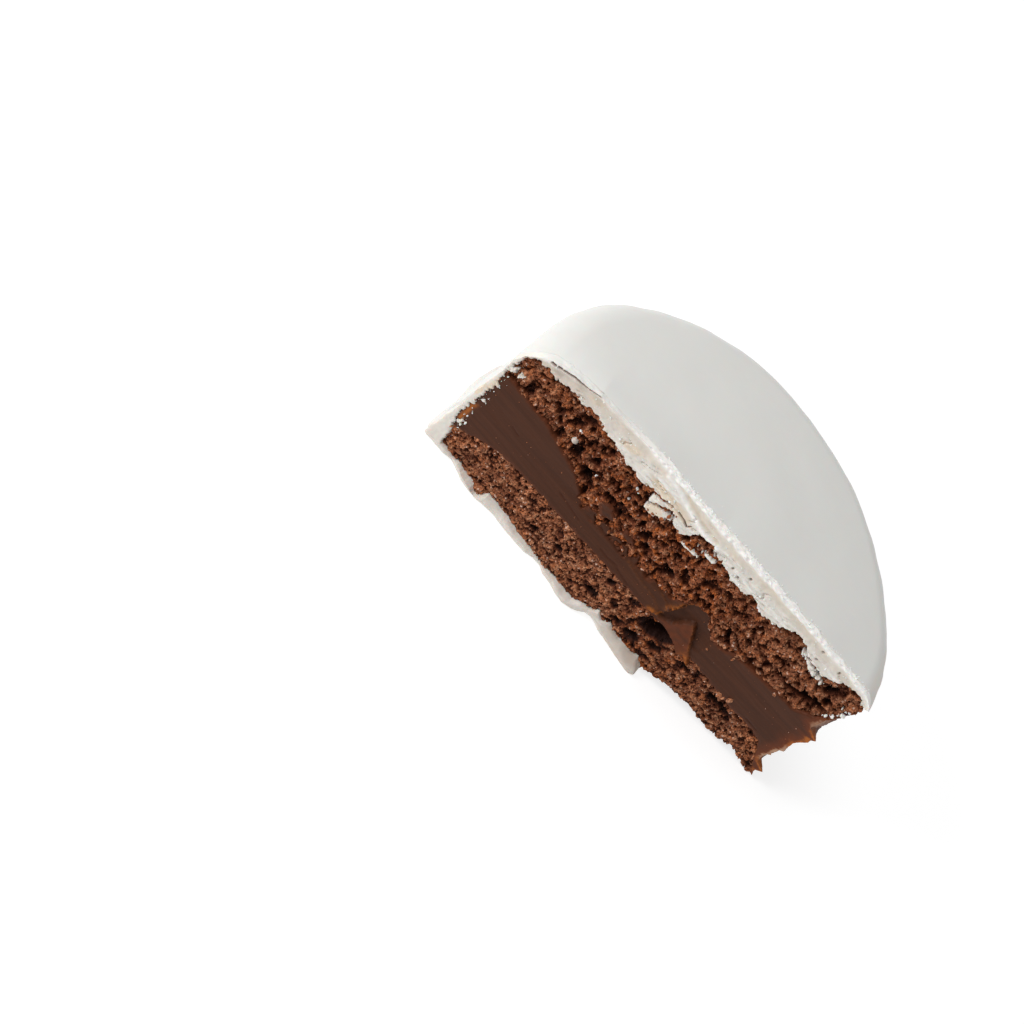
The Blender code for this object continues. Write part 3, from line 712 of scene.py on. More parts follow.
icing = {
    "colour": (0.715, 0.71, 0.68),
    "sectionColour": (0.76, 0.715, 0.65),
    "powderColour": (0.93, 0.915, 0.885),
    "creamColour": (0.76, 0.63, 0.48),
    "thinAndShadeColour": (0.52, 0.44, 0.375),  # thin icing with brown behind it, and painted shade on the strip, the band's upper left and the left wall
    "pitColour": (0.50, 0.36, 0.22),
    # dark brown along the cracks and round the pinholes
    "crackBrownColour": (0.16, 0.06, 0.03),
    "cloudScale": 130.0,            # waves a metre
    "gritScale": 5200.0,
    "pits": (140.0, 0.05, 60.0),    # cells a metre, largest share of a cell, steepness of the edge
    "cell": 0.10,                   # of the knife's grid
    "knifeReach": 33.0,
    "knifeSpan": (-1.5, 27.0),
    "scrap": 30,                    # points of the smallest body that stays
    "membrane": 0.8,                # thickness of what is smeared over the cut
    "proud": 0.10,                  # how far its face stands before the knife's path
    "gone": (1.9, 0.14),            # how deep and how soon it ends outside the white
    "bandStart": (19.5, 1.5),       # height where the band along the top begins, and over what height
    # on the band: distance from its outer edge, width, depth
    "ridge": (0.15, 0.45, -0.22),   # the powdery top edge stands forward
    "groove": (1.05, 0.50, 0.30),   # the dragged groove below it
    "lowerBand": (1.3, 0.5),        # where the plates begin
    "plate": 0.13,                  # step of those plates
    "plateEdges": ((1.0, -0.1, 0.14), (0.8, 0.45, 0.12)),       # share of the step, start, width
    "slit": (0.25, 0.05),           # depth, width
    "drift": 0.04,                  # slope of what is dragged along the band
    # the relief's waves: depth, length along the cut, length up it, seed
    "outerWaves": ((0.20, 3.2, 2.0, 31), (0.10, 0.8, 0.7, 32)),
    "lumps": ((0.7, 0.6, 0.5, 33),),
    "knobs": ((1.0, 1.5, 0.9, 34),),
    "grooveWaves": ((0.5, 6.0, 9.0, 35),),
    "slits": ((1.0, 3.6, 0.8, 36),),
    "slitPlaces": ((1.0, 3.0, 2.0, 37),),
    "faceWaves": ((0.03, 0.5, 0.5, 38),),
    "bandWaves": ((0.12, 2.2, 1.2, 39),),
    "wallWaves": ((0.06, 1.1, 2.5, 39),),
    "chipWaves": ((0.5, 2.2, 2.2, 40), (0.2, 0.7, 0.7, 41)),
    "driftWaves": ((0.25, 4.0, 3.0, 46),),
    "plateWaves": ((1.0, 4.2, 0.60, 47), (0.4, 1.5, 0.30, 48)),
    "creamWaves": ((0.6, 3.0, 0.8, 51),),
    "creamMottle": ((0.4, 0.7, 0.5, 52),),
    "dullWaves": ((0.5, 2.5, 0.8, 53),),
    # the powdery bead along the top of the cut
    "beadRise": 0.13,
    "beadWidth": 0.70,
    "beadWaves": ((0.30, 1.7, 1.0, 44), (0.20, 0.55, 1.0, 45)),
    "beadLumps": ((0.5, 1.0, 0.8, 43), (0.6, 0.42, 0.42, 49)),
    "lip": (-26.2, 3.6, 0.34, 0.7),     # thicker rim at the left: middle, half length, rise, more width
    # how far the lower edge stands back from the cut, or forward of it: x, mm
    "hem": ((-31, -0.2), (-27, -0.3), (-25.6, 0.0), (-24.5, -0.4), (-23, -1.1), (-21.5, -1.3),
            (-20.4, -1.4), (-19.1, -1.0), (-17.1, -0.6), (-14.8, -0.75), (-13.1, -0.65),
            (-11.1, -0.45), (-9.7, 0.15), (-8.4, 0.25), (-7.5, -0.3), (-6, -0.3), (-5, -0.7),
            (-3.4, -0.95), (-2.1, -0.5), (-0.9, 0.15), (-0.1, 0.9), (0.9, 1.15), (1.8, 0.85),
            (2.6, 0.35), (4.1, 0.0), (6.3, -0.75), (8.5, -1.5), (9.6, -1.6), (10.0, -0.9), (10.4, 0.0)),
    "hemFade": (0.2, 1.6),          # height where that begins to fade, and over what height
    # depth and width of what is rounded off
    "footRounding": (0.45, 0.9),
    "sideRounding": (0.35, 0.5),
    "edgeRounding": (0.13, 0.14),
    # broken lines and their half widths
    "cracks": ((((-27.2, 22.95), (-26.7, 23.0)), 0.12), (((-26.3, 23.2), (-25.9, 23.3)), 0.12),
               (((-25.6, 23.4), (-24.1, 23.9), (-22.4, 24.2)), 0.10),
               (((-22.4, 24.2), (-20.5, 24.8)), 0.06),
               (((-7.7, 20.6), (-6.6, 20.9), (-5.7, 21.3), (-4.9, 21.5)), 0.10),
               (((-3.8, 21.5), (-2.6, 21.3), (-1.8, 20.9)), 0.07),
               (((-1.8, 20.9), (-1.5, 21.4)), 0.06), (((2.2, 21.6), (3.0, 21.3), (3.9, 20.7)), 0.08)),
    "crackDepth": 0.45,
    # lines dragged along the band: points, width, rise
    "folds": ((((-8.0, 24.0), (-6.6, 23.9), (-5.2, 23.6), (-3.6, 23.1), (-1.6, 22.5), (0.1, 22.2),
                (2.5, 22.1)), 0.35, 0.14),
              (((-4.6, 23.9), (-3.8, 23.65), (-2.1, 23.4), (-0.2, 22.9), (2.0, 22.6)), 0.28, -0.18)),
    # shares along the cut: powder on the top edge, painted shade on the band, thin icing and painted shade
    # on the strip under the biscuit
    "frosted": ((-31, 0.3), (-27, 0.1), (-17, 0.0), (-13, 0.7), (-9, 1.0)),
    "bandShade": ((-31, 0.2), (-27, 0.45), (-25, 0.75), (-22, 0.50), (-18, 0.30), (-14, 0.15),
                 (-10, 0.0)),
    "thinAndShade": ((-31, 0.15), (-12, 0.20), (-6, 0.35), (0, 0.45), (4, 0.75), (7, 1.0), (11, 1.0)),
    # painted shade on the left wall beside the cut
    "wallShade": 0.05,
    "dullChip": (-18.2, 17.1, 0.7),     # x, z, radius
    "pinhole": (0.5, 0.13),         # depth, radius
    "pinholes": ((-28.2, 21.5), (-28.5, 20.9), (5.6, 21.8), (6.9, 21.3), (8.0, 22.5), (20.6, 22.9),
                 (20.8, 21.7), (23.9, 22.6)),
    # x, z, half length, half height, slope
    "creamSpots": ((-30.2, 12.0, 0.45, 1.5, 0.0), (-30.3, 4.3, 0.2, 0.2, 0.0),
                   (-30.4, 3.0, 0.3, 0.15, 0.0), (-5.7, 18.9, 1.5, 1.2, 0.0),
                   (-5.4, 21.8, 4.6, 1.0, -0.1), (-13.5, 22.9, 2.0, 0.7, 0.2),
                   (-20.5, 23.6, 1.4, 0.5, 0.2), (-29.6, 14.0, 0.5, 2.0, 0.0)),
    # broken away under the biscuit: from x, over a width, up to z, over a height, depth
    "baseChip": (9.9, 0.3, 2.4, 1.2, 2.2),
    # and at the right end: from x, over a width, top there, its rise, height over which it deepens, depth
    "wallChip": (28.0, 0.9, 19.0, 1.6, 9.0, 6.0),
    "wallChipWaves": ((1.8, 1.0, 3.5, 42),),
}


def edgeDistance(x, z):             # in from the coat's outer edge on the cut
    flat = disc["radius"] - disc["shoulder"]
    over = np.maximum(0.0, np.abs(x) - flat) / disc["shoulder"]
    shoulder = disc["shoulder"] * (1.0 - np.sqrt(np.maximum(0.0, 1.0 - over * over)))
    ridge = disc["rim"] + disc["crown"] * np.maximum(0.0, 1.0 - (x / flat) ** 2) + along(x, disc["lift"])
    return np.minimum(ridge - shoulder - z, disc["radius"] - np.abs(x))


def rimWidth(x):                    # of the powdery bead along the top of the cut
    middle, halfLength, _, more = icing["lip"]
    return icing["beadWidth"] + waves(x, 0.5, icing["beadWaves"]) + more * bell(x - middle, halfLength)


def flakiness(x, z):                # about -1 to 1: long plates dragged along the cut
    drift = z - icing["drift"] * x + waves(x, z, icing["driftWaves"])
    return waves(x, drift, icing["plateWaves"])


# The band along the top, in mm towards the back: ridge, groove, plates, folds and slits.
def bandRelief(x, z):
    fromEdge = edgeDistance(x, z) + waves(x, z, icing["outerWaves"])
    lumps = waves(x, z, icing["lumps"]) + np.abs(waves(x, z, icing["knobs"])) - 0.3
    frosted = along(x, icing["frosted"])
    place, width, depth = icing["ridge"]
    relief = depth * bell(fromEdge - place, width) * (0.9 + lumps * (0.15 + 0.85 * frosted))
    place, width, depth = icing["groove"]
    relief = relief + depth * bell(fromEdge - place, width) * (0.75 + waves(x, z, icing["grooveWaves"]))
    lower = past(fromEdge, *icing["lowerBand"])
    flakes = flakiness(x, z)
    plates = sum(share * past(flakes, start, width) for share, start, width in icing["plateEdges"])
    relief = relief - icing["plate"] * plates * lower * (0.3 + 0.7 * frosted)
    for line, width, rise in icing["folds"]:
        relief = relief - rise * bell(lineDistance(x, z, line), width) * (0.9 + 0.6 * lumps)
    depth, width = icing["slit"]
    slit = bell(waves(x, z - icing["drift"] * x, icing["slits"]), width)
    slit = slit * past(waves(x, z, icing["slitPlaces"]), 0.0, 0.3)
    return relief + depth * slit * lower


# How deep the coat is broken away, under the biscuit and at the right end.
def chipDepth(x, z):
    inner, width, upTo, high, depth = icing["baseChip"]
    baseChip = depth * (1.0 - past(z, upTo, high)) * past(x, inner, width)
    inner, width, top, rise, high, depth = icing["wallChip"]
    below = top + rise * (x - inner) - z
    wavering = depth + waves(0.3, z, icing["wallChipWaves"])
    return np.maximum(baseChip, wavering * past(x, inner, width) * past(below, 0.0, high) ** 0.6)


def icingDepth(x, z):
    white = whiteness(x, z)
    onBand = past(z, *icing["bandStart"])
    relief = (bandRelief(x, z) + waves(x, z, icing["bandWaves"])) * onBand
    relief = relief + waves(x, z, icing["wallWaves"]) * (1.0 - onBand) + waves(x, z, icing["faceWaves"])
    for line, width in icing["cracks"]:
        relief = relief + icing["crackDepth"] * bell(lineDistance(x, z, line), width)
    depth, radius = icing["pinhole"]
    for across, height in icing["pinholes"]:
        relief = relief + depth * bell(np.hypot(x - across, z - height), radius)
    hem = along(x, icing["hem"]) * (1.0 - past(z, *icing["hemFade"]))
    depth, high = icing["footRounding"]
    rounding = depth * (1.0 - past(z, 0.0, high)) ** 2
    depth, width = icing["sideRounding"]
    rounding = rounding + depth * bell(np.abs(x) - disc["radius"], width)
    depth, width = icing["edgeRounding"]
    edge = depth * bell(np.maximum(white, 0.0), width)
    depth, width = icing["gone"]
    gone = depth * past(-white, 0.0, width)
    chip = chipDepth(x, z)
    chipped = chip + waves(x, z, icing["chipWaves"]) * past(chip, 0.0, 1.5)
    return cutDepth(x, z) - icing["proud"] + relief + hem + rounding + edge + gone + chipped


def icingShape(radius, spin, height):
    x, y = radius * np.cos(spin), radius * np.sin(spin)
    z = height / disc["rim"] * topHeight(x, y)
    atWall = np.minimum(radius / disc["radius"], 1.0) ** 4
    across, away = (disc["radius"] * side / disc["dentWave"] for side in (np.cos(spin), np.sin(spin)))
    dent = disc["wallDent"] * slowNoise(across, away, height / disc["dentWave"])
    depth, lump, number, reach, seed = disc["leftLumps"]
    dent = dent + depth * ripple(height / lump, spin * number, seed) * nearCut(y, reach) * (x < 0.0)
    soft = waveRound(spin, height, disc["wallWaves"], disc["wallSeed"]) - disc["wallLoss"]
    pastWall = np.maximum(0.0, radius - disc["radius"])
    wall = (radius - pastWall) * (1.0 + outlineAt(spin) / disc["radius"]) + (dent + soft) * atWall
    depth, number, seed = disc["drips"]
    drips = 1.0 - depth * (1.0 + ripple(spin * number, 0.5, seed))
    grow = (wall + pastWall * footAt(spin) * drips) / np.maximum(radius, 1e-9)
    x, y = x * grow, y * grow
    behind = y + disc["axisDepth"] - cutDepth(x, z)
    middle, halfLength, rise, _ = icing["lip"]
    bead = icing["beadRise"] * (0.85 + waves(x, y, icing["beadLumps"]))
    bead = bead + rise * bell(x - middle, halfLength)
    z = z + bead * before(behind, rimWidth(x), 0.35) * past(height, 21.0, 2.0)
    return x, y, z


def icingProfile():
    flat = disc["radius"] - disc["shoulder"]
    top = [(r, disc["rim"]) for r in np.arange(0.0, flat, disc["topRing"])]
    shoulder = arc(flat, disc["rim"] - disc["shoulder"], disc["shoulder"], 90, 0, 18)
    wall = [(disc["radius"], z) for z in np.arange(*disc["wallRings"])]
    foot = [(disc["radius"] + disc["footReach"] * reach, disc["footHeight"] * rise)
            for reach, rise in disc["footProfile"]]
    base = [(r, 0.0) for r in disc["baseRings"]]
    return top + shoulder + wall + foot + base


def icingMaterial():
    material, tree, shader = newMaterial("icing", Subsurface_Weight=0.12, Subsurface_Scale=0.0008, IOR=1.42)
    place = node(tree, "ShaderNodeTexCoord").outputs["Object"]
    marks = ("section", "powder", "cream", "thinAndShade", "crackBrown")
    shares = attributes(tree, *marks)
    cloud = noiseAt(tree, place, icing["cloudScale"], 3.0)
    grit = noiseAt(tree, place, icing["gritScale"], 3.0)
    scale, largest, steepness = icing["pits"]
    cells = cellsAt(tree, place, scale)
    chance = node(tree, "ShaderNodeSeparateColor", {0: cells["Color"]}).outputs[0]
    size = ranged(tree, chance, 0.5, 1.0, 0.0, largest)     # every other cell has a tiny pit
    pit = calculate(tree, "SUBTRACT", size, cells["Distance"])
    pit = calculate(tree, "MULTIPLY", pit, steepness, clamp=True)
    coat = mixed(tree, cloud, [c * 0.975 for c in icing["colour"]], icing["colour"])
    colour = mixed(tree, pit, coat, icing["pitColour"])
    # the thin-and-shade mark mixes in thin icing over brown and painted shade
    for mark, share in zip(marks, shares):
        colour = mixed(tree, share, colour, icing[mark + "Colour"])
    tree.links.new(colour, shader.inputs["Base Color"])
    section = shares[0]
    tree.links.new(ranged(tree, section, 0.0, 1.0, 0.40, 0.72), shader.inputs["Roughness"])
    soft = bumped(tree, cloud, 0.25, 0.0006)
    fine = bumped(tree, grit, calculate(tree, "MULTIPLY_ADD", section, 0.32, 0.03), 0.0001, soft)
    tree.links.new(bumped(tree, pit, 0.6, 0.0002, fine, invert=True), shader.inputs["Normal"])
    return material


def hollowForm():                   # what fills the coat, behind the smeared face
    low, high = inside["floor"], inside["ceiling"]
    profile = disclike(inside["radius"], low, high, inside["shoulder"], inside["baseEdge"], 1.5)
    shape = layerShape(low, high, lambda x, y: low, underside)
    hollow = turned("hollow", profile, shape)
    xs, zs = np.linspace(-36, 36, 73), np.linspace(-3, 29, 33)
    carve(hollow, knife("membrane", xs, zs, lambda x, z: cutDepth(x, z) + icing["membrane"]))
    return hollow


# Stores where each colour of the icing shows.
def markIcing(mesh):
    x, y, z = pointsOf(mesh).T
    behind = y - cutDepth(x, z)
    onFace = before(behind, 0.85, 0.5)
    toEdge = edgeDistance(x, z)
    fromEdge = toEdge + waves(x, z, icing["outerWaves"][:1])
    band = past(z, *icing["bandStart"])
    onRim = band * before(behind, rimWidth(x), 0.3)
    frosted = along(x, icing["frosted"])
    cream = 0.55 * bell(fromEdge - 1.15, 0.60) * band * onFace * (0.6 + waves(x, z, icing["creamWaves"]))
    mottle = waves(x, z, icing["creamMottle"])
    for place in icing["creamSpots"]:
        cream = np.maximum(cream, 0.8 * ease(spot(x, z, place) * 2.5 + mottle) * onFace)
    plates = 0.5 * past(flakiness(x, z), 0.0, 0.5) * past(fromEdge, *icing["lowerBand"]) * onFace
    powder = (bell(fromEdge - 0.1, 0.55) * onRim, plates, onRim * (1.0 - onFace))
    powder = np.maximum.reduce(powder) * frosted
    for line, width, rise in icing["folds"]:        # the raised one is powdery, the sunk one creamy
        nearFold = bell(lineDistance(x, z, line), width) * onFace
        if rise > 0.0:
            powder = np.maximum(powder, nearFold)
            cream = cream * (1.0 - nearFold)
        else:
            cream = np.maximum(cream, 0.6 * nearFold)
    foot = 0.25 * before(z, 2.6, 2.0) * (1.0 - onFace)
    mottle = 0.85 + waves(x, z, icing["dullWaves"])
    across, height, radius = icing["dullChip"]
    # darker where the icing is thin over brown, and painted shade on the strip, the band's upper left and
    # the left wall
    thinAndShade = np.maximum.reduce((
        before(z, 2.6, 0.6) * before(x, 11.5, 0.5) * along(x, icing["thinAndShade"]) * mottle,
        0.9 * bell(np.hypot(x - across, z - height), radius),
        icing["wallShade"] * before(x, -27.8, 0.8) * (1.0 - band),
        along(x, icing["bandShade"]) * band * past(toEdge, 0.1, 0.5) * mottle)) * onFace
    # dark brown along the cracks and round the pinholes
    crackBrown = np.zeros(len(x))
    for line, width in icing["cracks"]:
        crackBrown = np.maximum(crackBrown, bell(lineDistance(x, z, line), width * 1.3))
    for across, height in icing["pinholes"]:
        crackBrown = np.maximum(crackBrown, bell(np.hypot(x - across, z - height), 0.16))
    chipped = past(x, 27.5, 0.5) * before(z, 26.0, 4.0) * (np.hypot(x, y - disc["axisDepth"]) < 30.7)
    folded = (1.0 - frosted) * before(toEdge, 0.1, 0.2) * band
    store(mesh, "section", np.maximum.reduce((onFace * (1.0 - folded), onRim * frosted, 0.8 * chipped)))
    store(mesh, "powder", powder)
    store(mesh, "cream", np.clip(np.maximum(cream, foot), 0.0, 1.0))
    store(mesh, "thinAndShade", np.clip(thinAndShade, 0.0, 1.0))
    store(mesh, "crackBrown", crackBrown * onFace * past(toEdge, -0.35, 0.3))


def makeIcing():
    coat = turned("icing_shell", icingProfile(), icingShape)
    grid = cutGrid(icing["knifeReach"], icing["knifeSpan"], icing["cell"])
    carve(coat, hollowForm(), knife("icingKnife", *grid, icingDepth))
    dropScraps(coat, icing["scrap"])
    markIcing(coat.data)
    finishPiece(coat, icingMaterial(), "icing_coat")
    return coat


coat = makeIcing()


# Biscuits.

biscuit = {
    "colour": (0.335, 0.108, 0.045),
    "paleColour": (0.58, 0.285, 0.155),
    "warmColour": (0.40, 0.104, 0.021),
    "darkColour": (0.155, 0.037, 0.012),
    # painted shade: the crumb turns to these colours the deeper it lies behind the cut
    "deepShadeColour": (0.095, 0.021, 0.006),
    "pitColour": (0.020, 0.0045, 0.002),
    "paintedGlintColour": (0.85, 0.62, 0.50),
    "mottleScales": (420.0, 1500.0, 4600.0),        # waves a metre: broad, middle, fine
    "warmScale": 750.0,
    "paintedGlints": (4200.0, 0.965),      # cells a metre, share of them without a painted glint
    "cell": 0.09,
    "wallStep": 0.3,
    "scrap": 400,
    "facetAngle": 10.0,             # degrees, past which neighbouring facets show
    "standBack": 0.22,              # behind the knife's path
    "dive": (1.6, 0.15, 0.5),       # how much deeper it is where the filling shows: depth, start, width
    # the crumb's make-up, which both layers share
    "squeeze": (1.0, 0.7, 1.2),     # of its pattern, in each direction
    "stir": (1100.0, 0.0007),       # waves a metre, m
    "tilt": 1.3,                    # of a facet
    "dome": -0.35,
    "roughSize": 0.55,
    "roughDepth": 0.60,
    "pitEdge": (0.53, 0.70),
    "poreSize": 0.50,               # the largest one, as a share of its cell
    "poreEdge": 6.0,                # steepness
    "wobble": ((0.45, 0.9, 0.9, 61), (0.12, 0.4, 0.4, 64)),     # of the hollows' edges
    "cavityWaves": ((1.0, 2.3, 1.5), (0.5, 0.8, 0.6)),      # depth, length along the cut, length up it
    "cavityEdge": (0.30, 0.58),
    "wider": 0.15,                  # than the coat's hollow
    "wallRoughness": ((0.16, 55.0, 0.6), (0.07, 150.0, 0.25)),      # depth, waves a radian, height of one
    "bareWall": (0.25, 0.4, 1.1, 0.8),      # its painted shade and mottle, and the mottle's two sizes
    "overlapReach": 2.0,            # how far behind the cut the layers widen to meet the knife
    "baseReach": 1.8,
    # the torn right end: z, x, and the lower edge at the cut: x, z
    "rightEnd": ((0, 30.3), (1, 30.5), (2.2, 30.6), (2.8, 29.8), (3.2, 29.1), (4, 29.0), (5.5, 29.2),
                 (13, 29.2), (15, 28.5), (17, 28.7), (19, 29.4), (21, 29.9), (24, 30.2)),
    "bottomEdge": ((-31, 0.8), (-28, 0.7), (-26.5, 0.6), (-24.8, 0.45), (-23.2, 0.3), (-21.5, 0.05),
                   (-20.6, 0.03), (-19.9, 0.05), (-19.3, 0.6), (-16.2, 0.7), (-13, 0.4), (-4, 0.3),
                   (-2.8, 0.3), (-1.5, 0.9), (1.4, 1.3), (4.5, 1.0), (7.4, 0.7), (9.0, 0.5),
                   (9.8, 0.2), (10.5, 0.9), (15, 1.15), (19, 1.25), (20.2, 0.6), (24, 0.5),
                   (25.8, 0.9), (26.3, 1.15), (27.3, 0.45), (28, 0.1), (31, 0.1)),
}
lowerLayer = {
    "piece": "lower_biscuit",
    "node": "biscuit_bottom",
    "seed": 71,
    "span": (1.5, 7.2),             # heights, before its two surfaces shape it
    "edges": (1.0, 0.8),            # rounding of its top and base edges
    "knifeSpan": (-1.5, 11.0),
    "topOverlap": 0.7,
    # sizes and depths in mm of what the crumb is made of
    "crumb": {"Lump size": 0.90, "Lump depth": 0.15, "Grain size": 0.40, "Grain depth": 0.10,
              "Fine size": 0.18, "Fine depth": 0.10, "Pit size": 0.75, "Pit depth": 0.40,
              "Pore size": 0.42, "Pore depth": 0.28},
    # how much paler the crumb is along the cut: x, share
    "tone": ((-30, 0.40), (-15, 0.50), (-5, 0.60), (1, 0.50), (5, 0.05), (11, 0.05), (14, 0.40),
             (20, 0.50), (30, 0.30)),
    # how deep its irregular cavities are along the cut: x, mm
    "cavities": ((-30, 0.0), (-4, 0.2), (4, 0.4), (12, 0.3), (22, 0.4), (30, 0.5)),
    # hollows: x, z, half length, half height, depth, slope
    "hollows": ((7.2, 6.2, 2.1, 1.0, 2.8, 0.18), (5.6, 3.2, 1.2, 0.5, 1.1, 0.0),
                (3.0, 3.3, 0.8, 0.4, 0.8, 0.0), (-8.7, 4.0, 0.6, 0.4, 0.7, 0.0),
                (-2.0, 3.5, 0.9, 0.4, 0.8, 0.1), (-1.4, 6.3, 0.6, 0.3, 0.8, 0.0),
                (19.0, 4.8, 1.4, 0.45, 1.2, 0.0), (21.0, 4.6, 0.9, 0.4, 1.0, 0.0),
                (8.6, 4.2, 0.8, 0.5, 0.9, 0.0), (-12.5, 3.1, 0.5, 0.4, 0.6, 0.0),
                (-20.6, 0.3, 0.6, 0.6, -0.75, 0.0)),
}
upperLayer = {
    "piece": "upper_biscuit",
    "node": "biscuit_top",
    "seed": 81,
    "span": (11.0, 22.3),
    "edges": (inside["shoulder"], 1.0),
    "knifeSpan": (8.0, 27.0),
    "baseOverlap": 1.0,
    "topOverlap": 1.1,
    "topOverlapEnd": (28.3, 2.5),   # from the middle, and over what length it ends
    "topGap": 0.05,                 # under the coat
    "crumb": {"Lump size": 1.30, "Lump depth": 0.34, "Grain size": 0.50, "Grain depth": 0.16,
              "Fine size": 0.20, "Fine depth": 0.12, "Pit size": 1.05, "Pit depth": 0.90,
              "Pore size": 0.55, "Pore depth": 0.40},
    "tone": ((-30, 0.30), (-20, 0.15), (-12, -0.05), (-5, -0.25), (3, -0.25), (8, 0.0), (12, 0.25),
             (20, 0.55), (30, 0.40)),
    "cavities": ((-30, 0.3), (-24, 0.4), (-16, 0.8), (-8, 0.8), (3, 0.8), (10, 0.4), (18, 0.3),
                 (30, 0.6)),
    "hollows": ((-26.2, 17.3, 0.6, 0.7, 1.0, 0.0), (-22.1, 18.6, 0.5, 0.5, 0.8, 0.0),
                (-20.1, 15.9, 0.7, 0.8, 1.2, 0.0), (-19.0, 20.7, 1.1, 0.7, 1.1, 0.2),
                (-17.1, 15.7, 0.8, 0.7, 1.3, -0.3), (-14.6, 16.9, 0.9, 0.5, 1.1, 0.2),
                (-14.2, 19.9, 0.7, 0.5, 0.9, 0.0), (-13.9, 14.7, 1.1, 0.9, 1.8, -0.2),
                (-9.3, 14.9, 1.6, 0.5, 1.2, 0.0), (-6.4, 15.0, 0.5, 0.4, 1.0, 0.0),
                (-5.0, 15.8, 0.5, 0.5, 1.0, 0.0), (-3.6, 14.6, 0.7, 0.5, 1.0, -0.3),
                (-2.3, 13.5, 0.8, 0.5, 1.1, -0.2), (-1.3, 15.9, 0.5, 0.4, 0.8, 0.0),
                (0.6, 21.2, 0.8, 0.4, 1.2, 0.0), (0.9, 16.3, 0.5, 0.4, 1.0, 0.0),
                (1.7, 13.6, 1.0, 0.6, 1.3, -0.2), (2.9, 18.1, 0.4, 0.5, 0.8, 0.0),
                (3.8, 15.0, 0.4, 0.4, 0.9, 0.0), (12.6, 13.6, 0.6, 1.0, 1.5, -0.3),
                (12.9, 15.2, 0.5, 0.3, 0.9, 0.0), (14.7, 15.3, 0.5, 0.3, 0.9, 0.0),
                (16.3, 16.4, 0.6, 0.3, 0.9, 0.3), (17.3, 21.8, 1.5, 0.4, 1.4, 0.05),
                (18.6, 15.0, 0.5, 0.4, 0.9, 0.0), (18.6, 17.0, 0.8, 0.35, 1.1, 0.3),
                (20.0, 17.4, 0.4, 0.3, 0.9, 0.0), (20.5, 15.3, 0.6, 0.3, 1.1, 0.1),
                (22.3, 15.1, 1.0, 0.4, 1.5, 0.2), (24.5, 15.8, 1.3, 0.6, 2.0, 0.3),
                (25.3, 19.4, 0.9, 0.8, 1.6, 0.0), (26.6, 16.4, 0.9, 0.45, 1.4, 0.1)),
}


def hollowsAt(x, z, places):
    depth = np.zeros(x.shape)
    for across, height, halfLength, halfHeight, deep, slope in places:
        dx = (x - across) / halfLength
        dz = (z - height - slope * (x - across)) / halfHeight
        depth += deep * np.exp(-(dx * dx + dz * dz) ** 2)
    return depth


def cavitiesAt(x, z, depths, seed):
    shape = sum(depth * ripple(x / long, z / high, seed + k)
                for k, (depth, long, high) in enumerate(biscuit["cavityWaves"]))
    low, high = biscuit["cavityEdge"]
    return along(x, depths) * past(shape, low, high - low)


def biscuitDepth(layer):
    def depthAt(x, z):
        wobble = waves(x, z, biscuit["wobble"])
        deep = hollowsAt(x + wobble, z + 0.6 * wobble, layer["hollows"])
        cavities = cavitiesAt(x, z, layer["cavities"], layer["seed"] + 4)
        deep = deep + np.maximum(0.0, cavities - np.abs(deep))
        depth, start, width = biscuit["dive"]
        underFilling = depth * past(chocolateness(x, z), start, width)
        return cutDepth(x, z) + biscuit["standBack"] + deep + underIcing(x, z) + underFilling
    return depthAt


def newInput(tree, name, kind, value):
    socket = tree.interface.new_socket(name, in_out="INPUT", socket_type=kind)
    socket.default_value = value
    return socket.identifier


def geometryTree(name):
    tree = bpy.data.node_groups.new(name, "GeometryNodeTree")
    tree.interface.new_socket("Geometry", in_out="INPUT", socket_type="NodeSocketGeometry")
    tree.interface.new_socket("Geometry", in_out="OUTPUT", socket_type="NodeSocketGeometry")
    return tree


def closeTree(tree, geometry, material):            # every tree ends in the same way
    real = node(tree, "GeometryNodeRealizeInstances", {"Geometry": geometry})
    dressed = node(tree, "GeometryNodeSetMaterial", {"Geometry": real.outputs[0], "Material": material})
    node(tree, "NodeGroupOutput", {0: dressed.outputs[0]})


